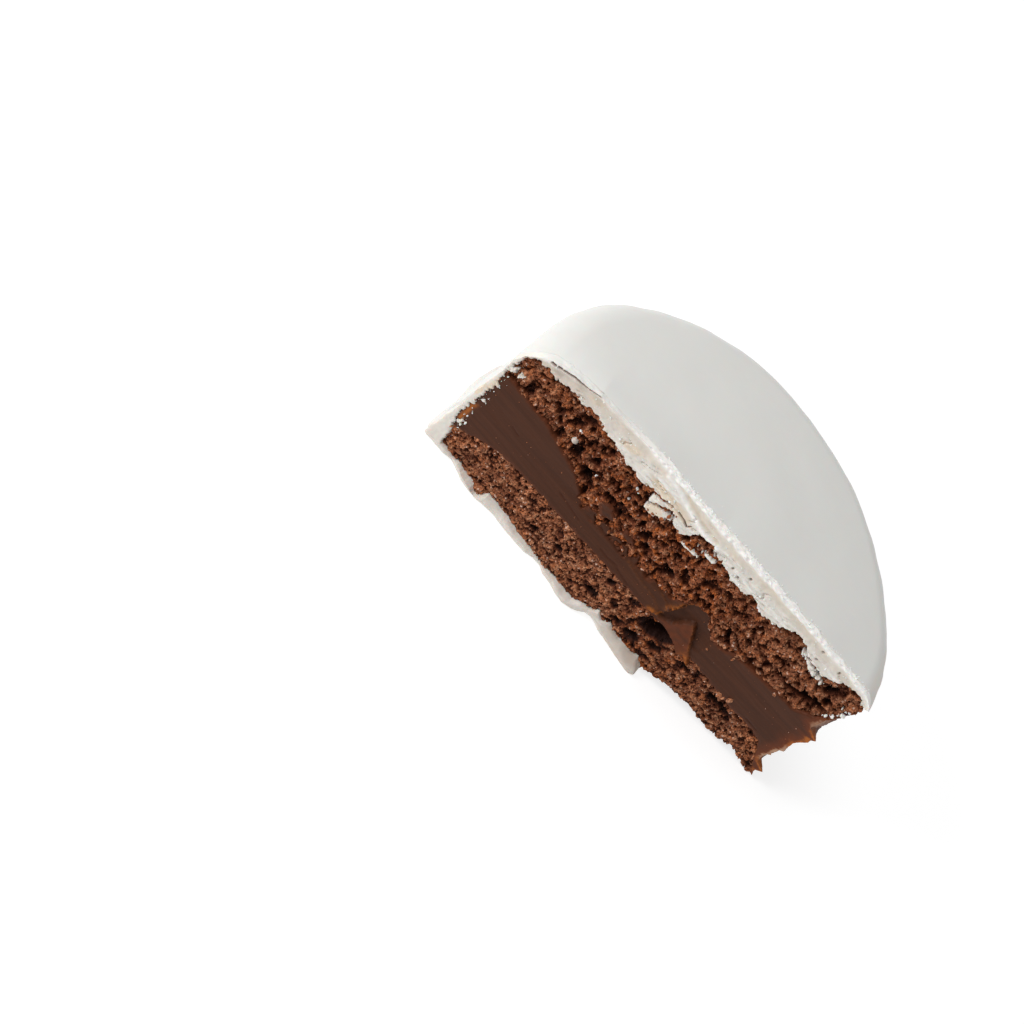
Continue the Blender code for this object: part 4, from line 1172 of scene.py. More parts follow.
# Torn crumb: lumps, grains and fine grit that each sit a little forward or back, with pits and pores.
def crumbTree(names, material):
    tree = geometryTree("crumb face")
    identifiers = [newInput(tree, name, "NodeSocketFloat", mm) for name in names]
    group = node(tree, "NodeGroupInput")
    size = {name: group.outputs[name] for name in names}
    place = node(tree, "GeometryNodeInputPosition").outputs[0]
    place = vectorMath(tree, "MULTIPLY", place, biscuit["squeeze"])
    shift = node(tree, "ShaderNodeCombineXYZ", {"Y": size["Seed"]}).outputs[0]
    place = vectorMath(tree, "ADD", place, shift)
    middle = (0.5, 0.5, 0.5)
    scale, reach = biscuit["stir"]
    stir = vectorMath(tree, "SUBTRACT", noiseAt(tree, place, scale, output="Color"), middle)
    place = vectorMath(tree, "ADD", place, vectorMath(tree, "SCALE", stir, reach))
    height = 0.0
    for label in ("Lump", "Grain", "Fine"):         # each cell is a facet with its own height and tilt
        scale = calculate(tree, "DIVIDE", 1.0, size[label + " size"])
        cells = cellsAt(tree, place, scale)
        chance = vectorMath(tree, "SUBTRACT", cells["Color"], middle)
        fromCentre = vectorMath(tree, "SUBTRACT", place, cells["Position"])
        tilt = vectorMath(tree, "DOT_PRODUCT", vectorMath(tree, "SCALE", fromCentre, scale), chance)
        offset = node(tree, "ShaderNodeSeparateXYZ", {0: chance}).outputs[1]
        dome = calculate(tree, "POWER", cells["Distance"], 2.0)
        dome = calculate(tree, "MULTIPLY", dome, biscuit["dome"])
        facet = calculate(tree, "ADD", calculate(tree, "MULTIPLY_ADD", tilt, biscuit["tilt"], offset), dome)
        height = calculate(tree, "MULTIPLY_ADD", facet, size[label + " depth"], height)
    rough = noiseAt(tree, place, 1.0 / (biscuit["roughSize"] * mm), 4.0, Roughness=0.6)
    rough = calculate(tree, "SUBTRACT", rough, 0.5)
    height = calculate(tree, "MULTIPLY_ADD", rough, biscuit["roughDepth"] * mm, height)
    depth = calculate(tree, "MULTIPLY", height, -1.0)
    hole = noiseAt(tree, place, calculate(tree, "DIVIDE", 1.0, size["Pit size"]))
    hole = ranged(tree, hole, *biscuit["pitEdge"])
    depth = calculate(tree, "MULTIPLY_ADD", hole, size["Pit depth"], depth)
    pores = cellsAt(tree, place, calculate(tree, "DIVIDE", 1.0, size["Pore size"]))
    radius = node(tree, "ShaderNodeSeparateXYZ", {0: pores["Color"]}).outputs[0]
    radius = calculate(tree, "MULTIPLY", radius, biscuit["poreSize"])
    pore = calculate(tree, "SUBTRACT", radius, pores["Distance"])
    pore = calculate(tree, "MULTIPLY", pore, biscuit["poreEdge"], clamp=True)
    depth = calculate(tree, "MULTIPLY_ADD", pore, size["Pore depth"], depth)
    onCut = node(tree, "GeometryNodeInputNamedAttribute", {"Name": "onCut"}, data_type="FLOAT").outputs[0]
    depth = calculate(tree, "MULTIPLY", depth, onCut)
    offset = node(tree, "ShaderNodeCombineXYZ", {"Y": depth}).outputs[0]
    moved = node(tree, "GeometryNodeSetPosition", {"Geometry": group.outputs["Geometry"], "Offset": offset})
    closeTree(tree, moved.outputs[0], material)
    return tree, identifiers


def biscuitMaterial():
    material, tree, shader = newMaterial("cocoa biscuit", Roughness=0.75, Specular_IOR_Level=0.22)
    place = node(tree, "ShaderNodeTexCoord").outputs["Object"]
    pit, tone = attributes(tree, "pit", "tone")
    broad, middle, fine = (noiseAt(tree, place, scale, 3.0) for scale in biscuit["mottleScales"])
    colour = mixed(tree, ranged(tree, broad, 0.34, 0.66), biscuit["darkColour"], biscuit["colour"])
    warm = ranged(tree, noiseAt(tree, place, biscuit["warmScale"], Distortion=0.6), 0.46, 0.63)
    warm = calculate(tree, "MULTIPLY", warm, calculate(tree, "MULTIPLY_ADD", tone, -0.7, 0.85))
    colour = mixed(tree, warm, colour, biscuit["warmColour"])
    pale = ranged(tree, middle, 0.48, 0.72)
    pale = calculate(tree, "MULTIPLY_ADD", pale, 0.75, calculate(tree, "MULTIPLY", tone, 0.28), clamp=True)
    colour = mixed(tree, pale, colour, biscuit["paleColour"])
    speckle = ranged(tree, fine, 0.35, 0.65, 0.42, 1.50)
    grey = node(tree, "ShaderNodeCombineColor", {0: speckle, 1: speckle, 2: speckle}).outputs[0]
    colour = mixed(tree, 1.0, colour, grey, blend="MULTIPLY")
    # painted shade in the pits and hollows: darker the deeper the crumb lies
    deep = ranged(tree, pit, 0.02, 0.60)
    colour = mixed(tree, deep, colour, biscuit["deepShadeColour"])
    colour = mixed(tree, ranged(tree, pit, 0.50, 1.30), colour, biscuit["pitColour"])
    scale, rarity = biscuit["paintedGlints"]
    cells = cellsAt(tree, place, scale)
    chance = node(tree, "ShaderNodeSeparateColor", {0: cells["Color"]}).outputs[0]
    paintedGlint = calculate(tree, "GREATER_THAN", chance, rarity)         # painted glints on a few grains, and none where the painted shade is deep
    paintedGlint = calculate(tree, "MULTIPLY", paintedGlint, calculate(tree, "SUBTRACT", 0.6, deep), clamp=True)
    colour = mixed(tree, paintedGlint, colour, biscuit["paintedGlintColour"])
    tree.links.new(colour, shader.inputs["Base Color"])
    tree.links.new(bumped(tree, fine, 0.7, 0.00012), shader.inputs["Normal"])
    return material


# Stores how deep each point lies, which the material turns into painted shade, and how pale the crumb is
# there.
def markBiscuit(mesh, layer):
    x, y, z = pointsOf(mesh).T
    pit = (y - cutDepth(x, z) - biscuit["standBack"]) / layer["crumb"]["Pit depth"]
    wall = past(x, along(z, biscuit["rightEnd"]) - 0.7, 0.4)       # bare where the coat broke away
    shade, mottle, long, high = biscuit["bareWall"]
    pit = pit + wall * (shade + mottle * ripple(y / long, z / high, layer["seed"] + 6) - pit)
    store(mesh, "pit", np.clip(pit, -0.5, 2.0))
    store(mesh, "tone", along(x, layer["tone"]))


def makeBiscuit(layer, baseAt, topAt, material):
    low, high = layer["span"]
    radius = inside["radius"] + biscuit["wider"]
    shape = layerShape(low, high, baseAt, topAt, endAt=lambda z: along(z, biscuit["rightEnd"]))
    shape = roughWall(shape, radius, biscuit["wallRoughness"], layer["seed"])
    body = turned(layer["piece"], disclike(radius, low, high, *layer["edges"], biscuit["wallStep"]), shape)
    grid = cutGrid(cut["knifeReach"], layer["knifeSpan"], biscuit["cell"])
    cutter = knife(layer["piece"] + "Knife", *grid, biscuitDepth(layer))
    values = {name: size * mm for name, size in layer["crumb"].items()}
    values["Seed"] = layer["seed"] * mm
    tree, identifiers = crumbTree(values, material)
    modifier = cutter.modifiers.new("Crumb", "NODES")
    modifier.node_group = tree
    for identifier, value in zip(identifiers, values.values()):
        modifier[identifier] = value
    settle(cutter)
    carve(body, cutter)
    dropScraps(body, biscuit["scrap"])
    markBiscuit(body.data, layer)
    finishPiece(body, material, layer["node"], biscuit["facetAngle"])
    return body


def lowerBase(x, y):
    plain = lowerLayer["span"][0]
    return plain + (along(x, biscuit["bottomEdge"]) - plain) * nearCut(y, biscuit["baseReach"])


def lowerTop(x, y):
    overlap = lowerLayer["topOverlap"] * nearCut(y, biscuit["overlapReach"])
    return layerHeight(x, y, inside["fillingBase"]) + overlap


def upperBase(x, y):
    overlap = upperLayer["baseOverlap"] * nearCut(y, biscuit["overlapReach"])
    return layerHeight(x, y, inside["fillingTop"]) - overlap


def upperTop(x, y):
    overlap = upperLayer["topOverlap"] * nearCut(y, biscuit["overlapReach"])
    overlap = overlap * before(np.abs(x), *upperLayer["topOverlapEnd"])
    return underside(x, y) - upperLayer["topGap"] + overlap


cocoa = biscuitMaterial()
lowerBiscuit = makeBiscuit(lowerLayer, lowerBase, lowerTop, cocoa)
upperBiscuit = makeBiscuit(upperLayer, upperBase, upperTop, cocoa)


# Chocolate filling.

filling = {
    "colour": (0.071, 0.0242, 0.0114),
    # orange of thin torn chocolate, with painted glow on the lit, thin edges
    "thinAndGlowColour": (0.47, 0.138, 0.023),
    "tornColour": (0.150, 0.037, 0.0125),
    # painted highlight along the torn right end
    "paleColour": (0.52, 0.35, 0.24),
    # painted shade in the pocket, the cavern and the scratches
    "deepShadeColour": (0.018, 0.0045, 0.002),
    "streakTurn": -7.0,             # degrees
    "streakScale": (100.0, 100.0, 1900.0),      # waves a metre, in each direction
    "speckScale": 2600.0,
    "cloudScale": 300.0,
    "cell": 0.14,
    "wallStep": 0.12,
    "wallSeed": 103,
    "scrap": 400,
    "knifeSpan": (-1.5, 22.0),
    "span": (7.0, 11.5),            # heights, before its two surfaces shape it
    "edges": (0.5, 0.5),
    "baseOverlap": (1.2, 1.3),      # how far it widens at the cut, and how far behind the cut
    "topOverlap": (3.2, 1.6),
    "ground": 0.05,                 # height of its foot beside the torn right end
    "groundFrom": (25.5, 1.5),
    "endGap": 0.1,
    "endLimit": 31.05,
    "wider": 0.1,                   # than the coat's hollow
    "standBack": 0.08,              # behind the knife's path
    "gone": (1.8, 0.22),            # how deep and how soon it ends outside the brown
    "edgeRounding": (0.16, 0.18),   # depth, width
    "mixedDepth": 0.10,
    "dragDepth": 0.016,             # of the fine lines that the knife dragged
    "dragSlope": 0.12,
    # waves: depth, length along the cut, length up it, seed
    "dragWaves": ((1.0, 11.0, 0.55, 91), (0.5, 6.0, 0.22, 92)),
    "flapWaves": ((0.10, 0.6, 0.6, 93),),
    "pocketWaves": ((0.12, 0.8, 0.8, 94),),
    "faceWaves": ((0.05, 6.0, 3.0, 95),),
    "sinkWaves": ((0.05, 1.2, 0.8, 96),),
    "burrWaves": ((1.1, 0.42, 0.42, 97),),
    "raisedWaves": ((0.06, 0.9, 1.4, 98),),
    "mixedWaves": ((0.15, 0.8, 0.8, 99),),
    "raggedWaves": ((0.35, 0.9, 1.4, 101), (0.2, 0.3, 0.3, 102)),
    "mottle": ((0.6, 0.45, 0.45, 105), (0.5, 0.22, 0.22, 106)),
    "burrPatches": ((0.8, 0.6, 0.4, 105), (0.5, 0.2, 0.2, 106)),
    "wobble": ((0.5, 0.8, 0.8, 107),),
    "prongs": ((0.18, 0.6, 1.0, 108), (0.18, 0.3, 1.0, 109)),       # drawn out of the torn right end
    "endPatches": ((1.0, 0.8, 0.8, 110), (0.6, 0.3, 0.3, 111)),
    "tearWaves": ((0.4, 0.9, 0.7, 112),),
    "fadeWaves": ((0.5, 0.9, 0.9, 113),),
    "wallRoughness": ((0.16, 40.0, 0.55), (0.10, 90.0, 0.22)),      # depth, waves a radian, height of one
    "pocket": ((4.9, 8.5), (5.7, 9.2), (6.2, 10.4), (6.2, 11.9), (7.0, 13.2), (8.2, 13.8),
               (10.8, 13.2), (12.6, 11.4), (12.6, 8.6), (9.0, 7.6), (6.5, 7.9)),
    "pocketDepth": 0.55,
    "pocketEdge": (-0.1, 0.30),     # where its edge begins, and its width
    "pocketEnd": (13.2, 3.5),       # shallower to the right: where it ends, and over what length
    "cavern": (7.2, 6.0, 2.3, 1.1, 2.6, 0.0),   # x, z, half length, half height, depth, slope
    "flap": ((4.4, 7.6), (6.0, 8.2), (7.3, 8.9), (8.2, 10.3), (8.7, 10.9), (9.4, 11.1), (10.4, 9.7),
             (11.3, 8.4), (12.3, 7.2), (13.1, 5.9), (12.1, 6.2), (11.5, 6.6), (10.9, 6.0), (10.1, 6.6),
             (8.9, 7.2), (7.0, 7.6)),
    # the flap's proud side
    "flapEdge": ((8.9, 10.9), (9.4, 11.0), (10.4, 9.6), (11.3, 8.3), (12.3, 7.1), (13.1, 5.9)),
    "flapTip": (12.4, 6.4, 1.1),    # x, z, radius
    "flapRise": (0.42, 3.0),        # of that side, and how far it reaches
    "flapStand": 0.15,              # of the rest, behind the knife's path
    "flapWidth": 0.14,              # of its step
    # line, width, rise, and how much orange with painted glow it gets
    "burrs": ((((-2.2, 10.3), (-0.9, 10.0), (0.5, 9.8), (2.1, 9.6), (3.6, 9.3), (5.2, 8.6)),
               0.16, 0.07, 0.11),
              (((2.8, 11.1), (3.9, 10.6), (5.3, 10.2)), 0.08, 0.10, 0.15),
              (((4.1, 8.0), (4.8, 8.2), (5.5, 8.5)), 0.28, 0.30, 0.7),
              (((5.5, 9.9), (6.0, 10.7), (6.5, 11.7)), 0.34, 0.50, 0.8),
              (((6.5, 11.7), (7.0, 13.0), (7.4, 13.8), (8.4, 14.0)), 0.12, 0.22, 0.6)),
    "scratch": (0.08, 0.09),        # depth, half width
    "scratches": (((-14.2, 9.9), (-10.0, 9.2)), ((-5.6, 8.7), (-4.2, 8.6), (-2.6, 8.8)),
                  ((-2.4, 8.5), (1.0, 7.9)), ((-24.2, 11.5), (-22.8, 11.2)),
                  ((-0.8, 12.5), (3.0, 11.0), (5.6, 10.2)), ((-9.0, 10.9), (-4.0, 10.2)),
                  ((14.0, 6.9), (16.2, 6.6)), ((23.2, 6.7), (25.2, 6.5))),
    # the torn right end, from its foot up: how orange, how much painted highlight, and where it is
    "glow": ((0.5, 0.4), (1.4, 1.0), (2.6, 1.0), (3.2, 0.6), (7, 0.6), (9, 0.9), (10.5, 1.0),
             (12.7, 1.0), (13.3, 0.3), (16, 0.3)),
    "paintedHighlightEdge": ((3.2, 0.0), (3.9, 0.8), (5.0, 1.0), (7.6, 0.8), (8.8, 0.0), (13.3, 0.0), (13.7, 0.5),
                 (15.4, 0.5), (16.0, 0.0)),
    "rightEnd": ((0, 30.7), (0.8, 30.7), (1.1, 30.2), (1.6, 30.2), (1.9, 30.9), (2.15, 31.0),
                 (2.4, 30.3), (2.7, 29.4), (3.3, 29.0), (5, 29.1), (6.1, 29.3), (7.8, 29.4),
                 (9.4, 29.3), (10.4, 29.6), (11.4, 30.1), (11.6, 29.7), (11.9, 29.7), (12.15, 30.4),
                 (12.4, 30.6), (12.7, 29.6), (13.4, 28.6), (14, 28.3), (14.7, 28.7), (15.5, 28.5),
                 (16, 28.5), (18, 29.0)),
}


def fillingDepth(x, z):
    drag = filling["dragDepth"] * waves(x, z + filling["dragSlope"] * x, filling["dragWaves"])
    depth = cutDepth(x, z) + filling["standBack"] + drag + waves(x, z, filling["faceWaves"])
    pocket = insideOutline(x, z, filling["pocket"]) + waves(x, z, filling["pocketWaves"])
    sink = past(pocket, *filling["pocketEdge"]) * before(x - 0.5 * (z - 9.0), *filling["pocketEnd"])
    depth = depth + sink * (filling["pocketDepth"] + waves(x, z, filling["sinkWaves"]))
    wobble = waves(x, z, filling["wobble"])
    depth = depth + hollowsAt(x + wobble, z + 0.6 * wobble, (filling["cavern"],))
    uneven = 0.7 + waves(x, z, filling["burrWaves"])
    for line, width, rise, _ in filling["burrs"]:
        depth = depth - rise * uneven * bell(lineDistance(x, z, line), width)
    flap = insideOutline(x, z, filling["flap"]) + waves(x, z, filling["flapWaves"])
    rise, reach = filling["flapRise"]
    proud = rise * bell(lineDistance(x, z, filling["flapEdge"]), reach)
    raised = cutDepth(x, z) + filling["flapStand"] - proud + waves(x, z, filling["raisedWaves"])
    depth = depth + (raised - depth) * past(flap, 0.0, filling["flapWidth"])
    deep, width = filling["scratch"]
    for line in filling["scratches"]:
        depth = depth + deep * bell(lineDistance(x, z, line), width)
    mixing = ease(along(x, fillingParts["mixed"]) * past(z, 10.0, 1.0))
    depth = depth + mixing * (filling["mixedDepth"] + waves(x, z, filling["mixedWaves"]))
    chocolate = np.maximum(chocolateness(x, z), flap)
    deep, width = filling["gone"]
    gone = deep * past(-chocolate, 0.0, width) + underIcing(x, z)
    deep, width = filling["edgeRounding"]
    edge = deep * bell(np.maximum(chocolate, 0.0), width) * before(flap, 0.1, 0.1)
    return depth + gone + edge


def fillingMaterial():
    material, tree, shader = newMaterial("chocolate filling", Specular_IOR_Level=0.12,
                                         Subsurface_Weight=0.05, Subsurface_Scale=0.0004)
    shader.inputs["Subsurface Radius"].default_value = (1.0, 0.35, 0.15)
    place = node(tree, "ShaderNodeTexCoord").outputs["Object"]
    thinAndGlow, torn, deep, pale = attributes(tree, "thinAndGlow", "torn", "deep", "pale")
    drawn = node(tree, "ShaderNodeMapping", {
        "Vector": place, "Rotation": (0.0, math.radians(filling["streakTurn"]), 0.0),
        "Scale": filling["streakScale"]}).outputs[0]
    streak = noiseAt(tree, drawn, 1.0, 4.0, Roughness=0.62)
    speck = noiseAt(tree, place, filling["speckScale"])
    cloud = noiseAt(tree, place, filling["cloudScale"])
    lighter = [c * 1.22 for c in filling["colour"]]
    darker = [c * 0.80 for c in filling["colour"]]
    colour = mixed(tree, ranged(tree, streak, 0.3, 0.7), darker, lighter)
    colour = mixed(tree, calculate(tree, "MULTIPLY", cloud, 0.35), colour, darker)
    colour = mixed(tree, torn, colour, filling["tornColour"])
    # painted shade in the pocket, the cavern and the scratches
    colour = mixed(tree, deep, colour, filling["deepShadeColour"])
    # orange where the filling is thin, with painted glow on its lit edges
    thinAndGlow = calculate(tree, "MULTIPLY", thinAndGlow, calculate(tree, "ADD", speck, 0.45), clamp=True)
    colour = mixed(tree, thinAndGlow, colour, filling["thinAndGlowColour"])
    # painted highlight along the torn right end
    colour = mixed(tree, pale, colour, filling["paleColour"])
    tree.links.new(colour, shader.inputs["Base Color"])
    roughness = calculate(tree, "MAXIMUM", ranged(tree, streak, 0.0, 1.0, 0.40, 0.58), deep)
    tree.links.new(roughness, shader.inputs["Roughness"])
    fine = bumped(tree, speck, 0.10, 0.0001, bumped(tree, streak, 0.12, 0.0002))
    tree.links.new(fine, shader.inputs["Normal"])
    return material


# Stores where the filling is thin (orange, with a painted glow on its lit, thin edges), torn, pale (a
# painted highlight on the torn right end), or deep in painted shade.
def markFilling(mesh):
    x, y, z = pointsOf(mesh).T
    behind = y - cutDepth(x, z)
    flap = insideOutline(x, z, filling["flap"])
    mottle = 0.70 + waves(x, z, filling["mottle"])
    ragged = waves(x, z, filling["raggedWaves"])
    downFlap = past(x, 9.5, 3.0)
    edge = bell(lineDistance(x, z, filling["flapEdge"]), 0.18) * before(behind, -0.15, 0.2)
    across, height, radius = filling["flapTip"]
    tip = 0.9 * bell(np.hypot(x - across, z - height), radius) * past(flap, -0.1, 0.3) * mottle
    burr = np.maximum.reduce([bright * bell(lineDistance(x, z, line), width * 1.2)
                              for line, width, _, bright in filling["burrs"]])
    burr = burr * np.clip(0.55 + waves(x, z, filling["burrPatches"]), 0.0, 1.0) * (behind < 0.5)
    leftTear = 0.7 * bell(x - along(z, whiteParts["leftEdge"]) - 0.35 + 0.5 * ragged, 0.35)
    leftTear = leftTear * past(z, 5.3, 0.6) * before(z, 10.2, 1.0)
    toEnd = x - along(z, filling["rightEnd"]) + ragged
    fade = before(behind + waves(z, y, filling["fadeWaves"]), 1.6, 1.3)     # with the distance from the cut
    patchy = past(waves(x, z, filling["endPatches"]), -0.5, 0.9)
    fringe = past(toEnd, -0.8, 0.7) * fade * (0.55 + 0.45 * patchy) * along(z, filling["glow"])
    # orange of thin chocolate and painted glow, on the flap edge and tip, burrs, left tear and right fringe
    thinAndGlow = np.maximum.reduce((edge * (0.35 + 0.65 * downFlap), tip, burr, leftTear, fringe))
    # painted highlight along the torn right end
    pale = past(toEnd, -0.6, 0.35) * fade * along(z, filling["paintedHighlightEdge"]) * (0.4 + 0.5 * mottle)
    scratch = np.max([bell(lineDistance(x, z, line), 0.11) for line in filling["scratches"]], axis=0)
    torn = np.maximum.reduce((
        past(flap, 0.0, 0.3) * (0.45 + 0.4 * downFlap + waves(x, z, filling["tearWaves"])),
        (0.35 + 0.45 * fade) * past(toEnd, -2.7, 2.4),
        0.5 * bell(np.maximum(chocolateness(x, z), 0.0), 0.3),
        0.25 * scratch))
    # painted shade: darker in the pocket, in the cavern and along the scratches
    pocket = past(insideOutline(x, z, filling["pocket"]), -0.1, 0.5) * past(behind, 0.5, 0.4)
    pocket = pocket * ease(0.5 - flap)
    across, height, *_ = filling["cavern"]
    inCavern = bell(np.hypot(x - across, z - height), 4.0) > 0.3
    deep = np.maximum(0.5 * np.maximum(pocket, scratch), past(behind, 1.1, 0.8) * inCavern)
    for name, share in (("thinAndGlow", thinAndGlow), ("torn", torn), ("deep", deep), ("pale", pale)):
        store(mesh, name, np.clip(share, 0.0, 1.0))


def fillingBase(x, y):              # reaches the ground beside its torn right end
    overlap, reach = filling["baseOverlap"]
    near = nearCut(y, reach)
    plain = layerHeight(x, y, inside["fillingBase"]) - overlap * near
    return plain + (filling["ground"] - plain) * near * past(x, *filling["groundFrom"])


def fillingTop(x, y):
    overlap, reach = filling["topOverlap"]
    return layerHeight(x, y, inside["fillingTop"]) + overlap * nearCut(y, reach)


def fillingEnd(z):
    drawnOut = along(z, filling["rightEnd"]) - filling["endGap"] + waves(z, 0.5, filling["prongs"])
    return np.minimum(drawnOut, filling["endLimit"])


def makeFilling(material):
    low, high = filling["span"]
    radius = inside["radius"] + filling["wider"]
    shape = layerShape(low, high, fillingBase, fillingTop, endAt=fillingEnd)
    shape = roughWall(shape, radius, filling["wallRoughness"], filling["wallSeed"])
    profile = disclike(radius, low, high, *filling["edges"], filling["wallStep"])
    body = turned("chocolate_filling", profile, shape)
    grid = cutGrid(cut["knifeReach"], filling["knifeSpan"], filling["cell"])
    carve(body, knife("fillingKnife", *grid, fillingDepth))
    dropScraps(body, filling["scrap"])
    markFilling(body.data)
    finishPiece(body, material, "filling")
    return body


chocolate = makeFilling(fillingMaterial())


# Loose crumbs.

crumbs = {
    "seed": 7,
    # how many, smallest and largest radius in mm, and where: from and to x, or z for the wall
    "rim": (620, 0.04, 0.13, (-16.0, 28.6)),        # icing along the top of the cut
    "strewn": (30, 0.03, 0.07, (-15.0, 27.5)),      # icing lying further in on the top
    "face": (260, 0.05, 0.16, (-22.0, 28.0)),       # icing on the cut's white band
    "wall": (90, 0.03, 0.09, (2.5, 20.0)),          # icing dragged from the left wall over the brown
    "grains": (3800, 0.04, 0.13, (-29.3, 30.2)),    # biscuit on the cut biscuit
    "dust": (120, 0.04, 0.09, (-28.5, 29.0)),       # biscuit on the filling
    "lowerShare": 0.4,              # of the grains, on the lower biscuit
    "lowerHeights": (0.6, 7.4),
    "upperHeights": (10.5, 22.0),
    "dustHeights": (5.0, 15.5),
    "powder": 0.6,                  # how white the icing's crumbs are
    "facetAngle": 25.0,
    "sizePower": 2.5,               # most are near the smallest radius
    "lowerSize": 0.75,              # share of that, on the lower biscuit
    "strewnBehind": (0.8, 3.2),     # nearest to the cut, and how much further
    "faceRise": 2.6,                # above the band's lower edge
    "wallReach": (-0.2, 1.3),       # from the wall's edge, and how much further
    # seed, roughness and detail of the chips
    "icingChips": (3, 1.1, 2),
    "biscuitChips": (5, 1.2, 1),
    "squash": ((0.6, 0.5, 0.4), (1.5, 1.1, 0.9)),   # smallest and largest share in each direction
    # icing chips on the brown: x, z, radius
    "chips": ((-9.1, 19.0, 0.30), (-8.9, 18.9, 0.2), (-8.4, 18.5, 0.22), (-8.3, 18.2, 0.18),
              (-8.5, 16.7, 0.30), (-13.3, 16.2, 0.28), (-13.2, 15.7, 0.24), (-12.9, 15.4, 0.16),
              (-18.7, 18.7, 0.24), (-18.4, 18.7, 0.15), (-28.4, 5.5, 0.25), (-28.1, 6.2, 0.2),
              (-28.6, 7.3, 0.15), (-28.5, 8.2, 0.12), (-28.4, 10.9, 0.11), (-28.6, 11.7, 0.10),
              (-28.9, 13.2, 0.10), (-28.8, 14.3, 0.12), (-29.2, 16.3, 0.12), (-28.2, 4.7, 0.15),
              (29.0, 18.4, 0.34), (29.3, 18.0, 0.25), (28.3, 17.2, 0.34), (29.2, 19.4, 0.28),
              (28.0, 16.3, 0.26), (28.7, 17.8, 0.22), (27.7, 16.0, 0.16), (28.9, 18.9, 0.20),
              (2.9, 19.6, 0.15), (0.2, 18.2, 0.12), (19.6, 19.9, 0.16), (21.9, 19.2, 0.15),
              (24.3, 19.2, 0.14)),
    # biscuit crumbs stuck to the white: x, z, radius
    "stuck": ((-4.4, 18.9, 0.36), (-4.0, 19.8, 0.36), (-6.7, 18.9, 0.30), (-5.5, 18.4, 0.30),
              (-6.2, 18.3, 0.24), (-4.6, 20.35, 0.24), (-6.3, 19.9, 0.20), (-3.6, 20.9, 0.20),
              (-5.3, 18.9, 0.12), (-0.6, 20.3, 0.20), (-2.0, 19.5, 0.18), (-29.2, 6.2, 0.18),
              (-29.4, 8.4, 0.14), (-29.6, 10.2, 0.16), (-29.5, 13.1, 0.14), (-29.6, 15.3, 0.18),
              (-28.9, 4.2, 0.2), (10.3, 21.2, 0.16), (2.6, 21.2, 0.14)),
    # larger biscuit crumbs standing on the filling: x, z, radius
    "standing": ((18.6, 6.3, 0.55), (20.0, 6.8, 0.50), (19.3, 6.2, 0.40), (12.7, 9.9, 0.25),
                 (-4.6, 10.6, 0.35), (-6.6, 11.2, 0.30), (-2.3, 11.2, 0.40), (0.4, 11.5, 0.35),
                 (15.6, 11.8, 0.30), (22.2, 12.9, 0.35)),
}


def crumbPoints(name, places):      # points with a size, powder and tone each, for the scatter below
    points = np.array([place for place, _ in places])
    piece = newPiece(name, points, [])
    x, z = points[:, 0] / mm, points[:, 2] / mm
    tone = np.where(z < 9.0, along(x, lowerLayer["tone"]), along(x, upperLayer["tone"]))
    store(piece.data, "size", [size for _, size in places])
    store(piece.data, "powder", np.full(len(places), crumbs["powder"]))
    store(piece.data, "tone", tone)
    return piece


def struck(target, start, heading):     # where a line first meets a piece
    hit, place, *_ = target.ray_cast(Vector(start) * mm, Vector(heading))
    return place if hit else None


def landed(target, x, z):           # on the piece's cut face, from in front
    return struck(target, (x, -30.0, z), (0.0, 1.0, 0.0))


def dropped(target, x, y):          # on its top, from above
    return struck(target, (x, y + cutPlane, 40.0), (0.0, 0.0, -1.0))


def crumbSize(random, low, high):   # mostly small ones
    return (low + (high - low) * random.random() ** crumbs["sizePower"]) * mm


def addCrumb(places, random, place, low, high, share=1.0):
    if place:
        places.append((place, crumbSize(random, low, high) * share))


def atPoint(measure, x, z):         # of one point of the cut
    return measure(np.array([x]), np.array([z]))[0]


# Stands a rough, uneven chip on every point, as large as the point's size says.
def scatterTree(name, material):
    tree = geometryTree(name)
    seed = newInput(tree, "Seed", "NodeSocketInt", 0)
    roughness = newInput(tree, "Roughness", "NodeSocketFloat", 0.5)
    detail = newInput(tree, "Detail", "NodeSocketInt", 1)
    group = node(tree, "NodeGroupInput")
    size = node(tree, "GeometryNodeInputNamedAttribute", {"Name": "size"}, data_type="FLOAT").outputs[0]
    turn, squash = (node(tree, "FunctionNodeRandomValue", {"Seed": group.outputs["Seed"], 0: low, 1: high},
                         data_type="FLOAT_VECTOR").outputs[0]
                    for low, high in (((0.0, 0.0, 0.0), (math.tau, math.tau, math.tau)), crumbs["squash"]))
    scale = vectorMath(tree, "SCALE", squash, size)
    chip = node(tree, "GeometryNodeMeshIcoSphere", {"Radius": 1.0, "Subdivisions": group.outputs["Detail"]})
    stand = node(tree, "GeometryNodeInstanceOnPoints", {
        "Points": group.outputs["Geometry"], "Instance": chip.outputs["Mesh"],
        "Rotation": turn, "Scale": scale})
    real = node(tree, "GeometryNodeRealizeInstances", {"Geometry": stand.outputs[0]})
    place = node(tree, "GeometryNodeInputPosition").outputs[0]
    wave = vectorMath(tree, "SUBTRACT", noiseAt(tree, place, 7000.0, output="Color"), (0.5, 0.5, 0.5))
    wave = vectorMath(tree, "SCALE", wave, calculate(tree, "MULTIPLY", size, group.outputs["Roughness"]))
    rough = node(tree, "GeometryNodeSetPosition", {"Geometry": real.outputs[0], "Offset": wave})
    closeTree(tree, rough.outputs[0], material)
    return tree, (seed, roughness, detail)


def scatter(name, places, material, values):
    piece = crumbPoints(name, places)
    tree, identifiers = scatterTree(name, material)
    modifier = piece.modifiers.new("Scatter", "NODES")
    modifier.node_group = tree
    for identifier, value in zip(identifiers, values):
        modifier[identifier] = value
    settle(piece)
    points = toMetres(pointsOf(piece.data))
    piece.data.vertices.foreach_set("co", points.astype(np.float32).ravel())
    piece.data.update()
    finishPiece(piece, material, None, crumbs["facetAngle"])
    return piece


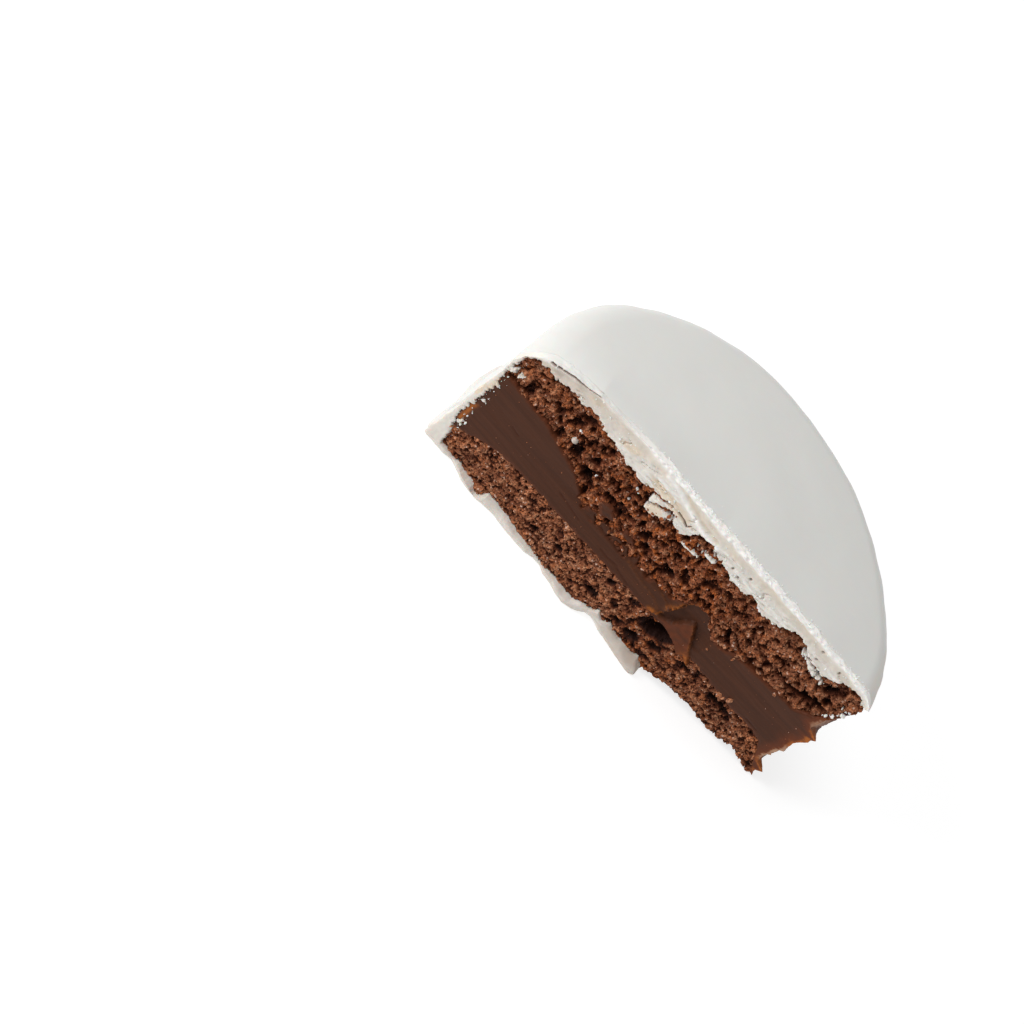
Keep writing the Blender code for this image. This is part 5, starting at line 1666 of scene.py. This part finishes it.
def icingCrumbs(random):
    places = []
    count, low, high, span = crumbs["rim"]
    while len(places) < count:
        x = random.uniform(*span)
        behind = random.uniform(-0.1, 1.0) * (float(rimWidth(x)) + 0.35)
        addCrumb(places, random, dropped(coat, x, behind + float(cutDepth(x, 24.0))), low, high)
    count, low, high, span = crumbs["strewn"]
    nearest, further = crumbs["strewnBehind"]
    for _ in range(count):
        x = random.uniform(*span)
        addCrumb(places, random, dropped(coat, x, nearest + further * random.random() ** 2), low, high)
    count, low, high, span = crumbs["face"]
    for _ in range(count):
        x = random.uniform(*span)
        z = float(along(x, whiteParts["lowerEdge"])) + random.random() ** 1.5 * crumbs["faceRise"]
        addCrumb(places, random, landed(coat, x, z), low, high)
    chips = list(crumbs["chips"])
    count, low, high, span = crumbs["wall"]
    nearest, further = crumbs["wallReach"]
    for _ in range(count):
        z = random.uniform(*span)
        x = float(along(z, whiteParts["leftEdge"])) + nearest + further * random.random() ** 2
        chips.append((x, z, crumbSize(random, low, high) / mm))
    for x, z, size in chips:
        hits = [landed(piece, x, z) for piece in (upperBiscuit, lowerBiscuit, chocolate)]
        hits = [place for place in hits if place]
        if hits:
            places.append((min(hits, key=lambda place: place.y), size * mm))
    return places


def biscuitCrumbs(random):
    places = []
    count, low, high, span = crumbs["grains"]
    for _ in range(count):
        x = random.uniform(*span)
        lower = random.random() < crumbs["lowerShare"]
        z = random.uniform(*crumbs["lowerHeights" if lower else "upperHeights"])
        if max(atPoint(whiteness, x, z), atPoint(chocolateness, x, z)) < 0.05:
            place = landed(lowerBiscuit if lower else upperBiscuit, x, z)
            addCrumb(places, random, place, low, high, crumbs["lowerSize"] if lower else 1.0)
    count, low, high, span = crumbs["dust"]
    for _ in range(count):
        x, z = random.uniform(*span), random.uniform(*crumbs["dustHeights"])
        if atPoint(chocolateness, x, z) > 0.1:
            addCrumb(places, random, landed(chocolate, x, z), low, high)
    for target, loose in ((chocolate, crumbs["standing"]), (coat, crumbs["stuck"])):
        landings = [(landed(target, x, z), size * mm) for x, z, size in loose]
        places.extend(landing for landing in landings if landing[0])
    return places


random = Random(crumbs["seed"])
scatter("icing_crumbs", icingCrumbs(random), coat.data.materials[0], crumbs["icingChips"])
scatter("biscuit_crumbs", biscuitCrumbs(random), cocoa, crumbs["biscuitChips"])
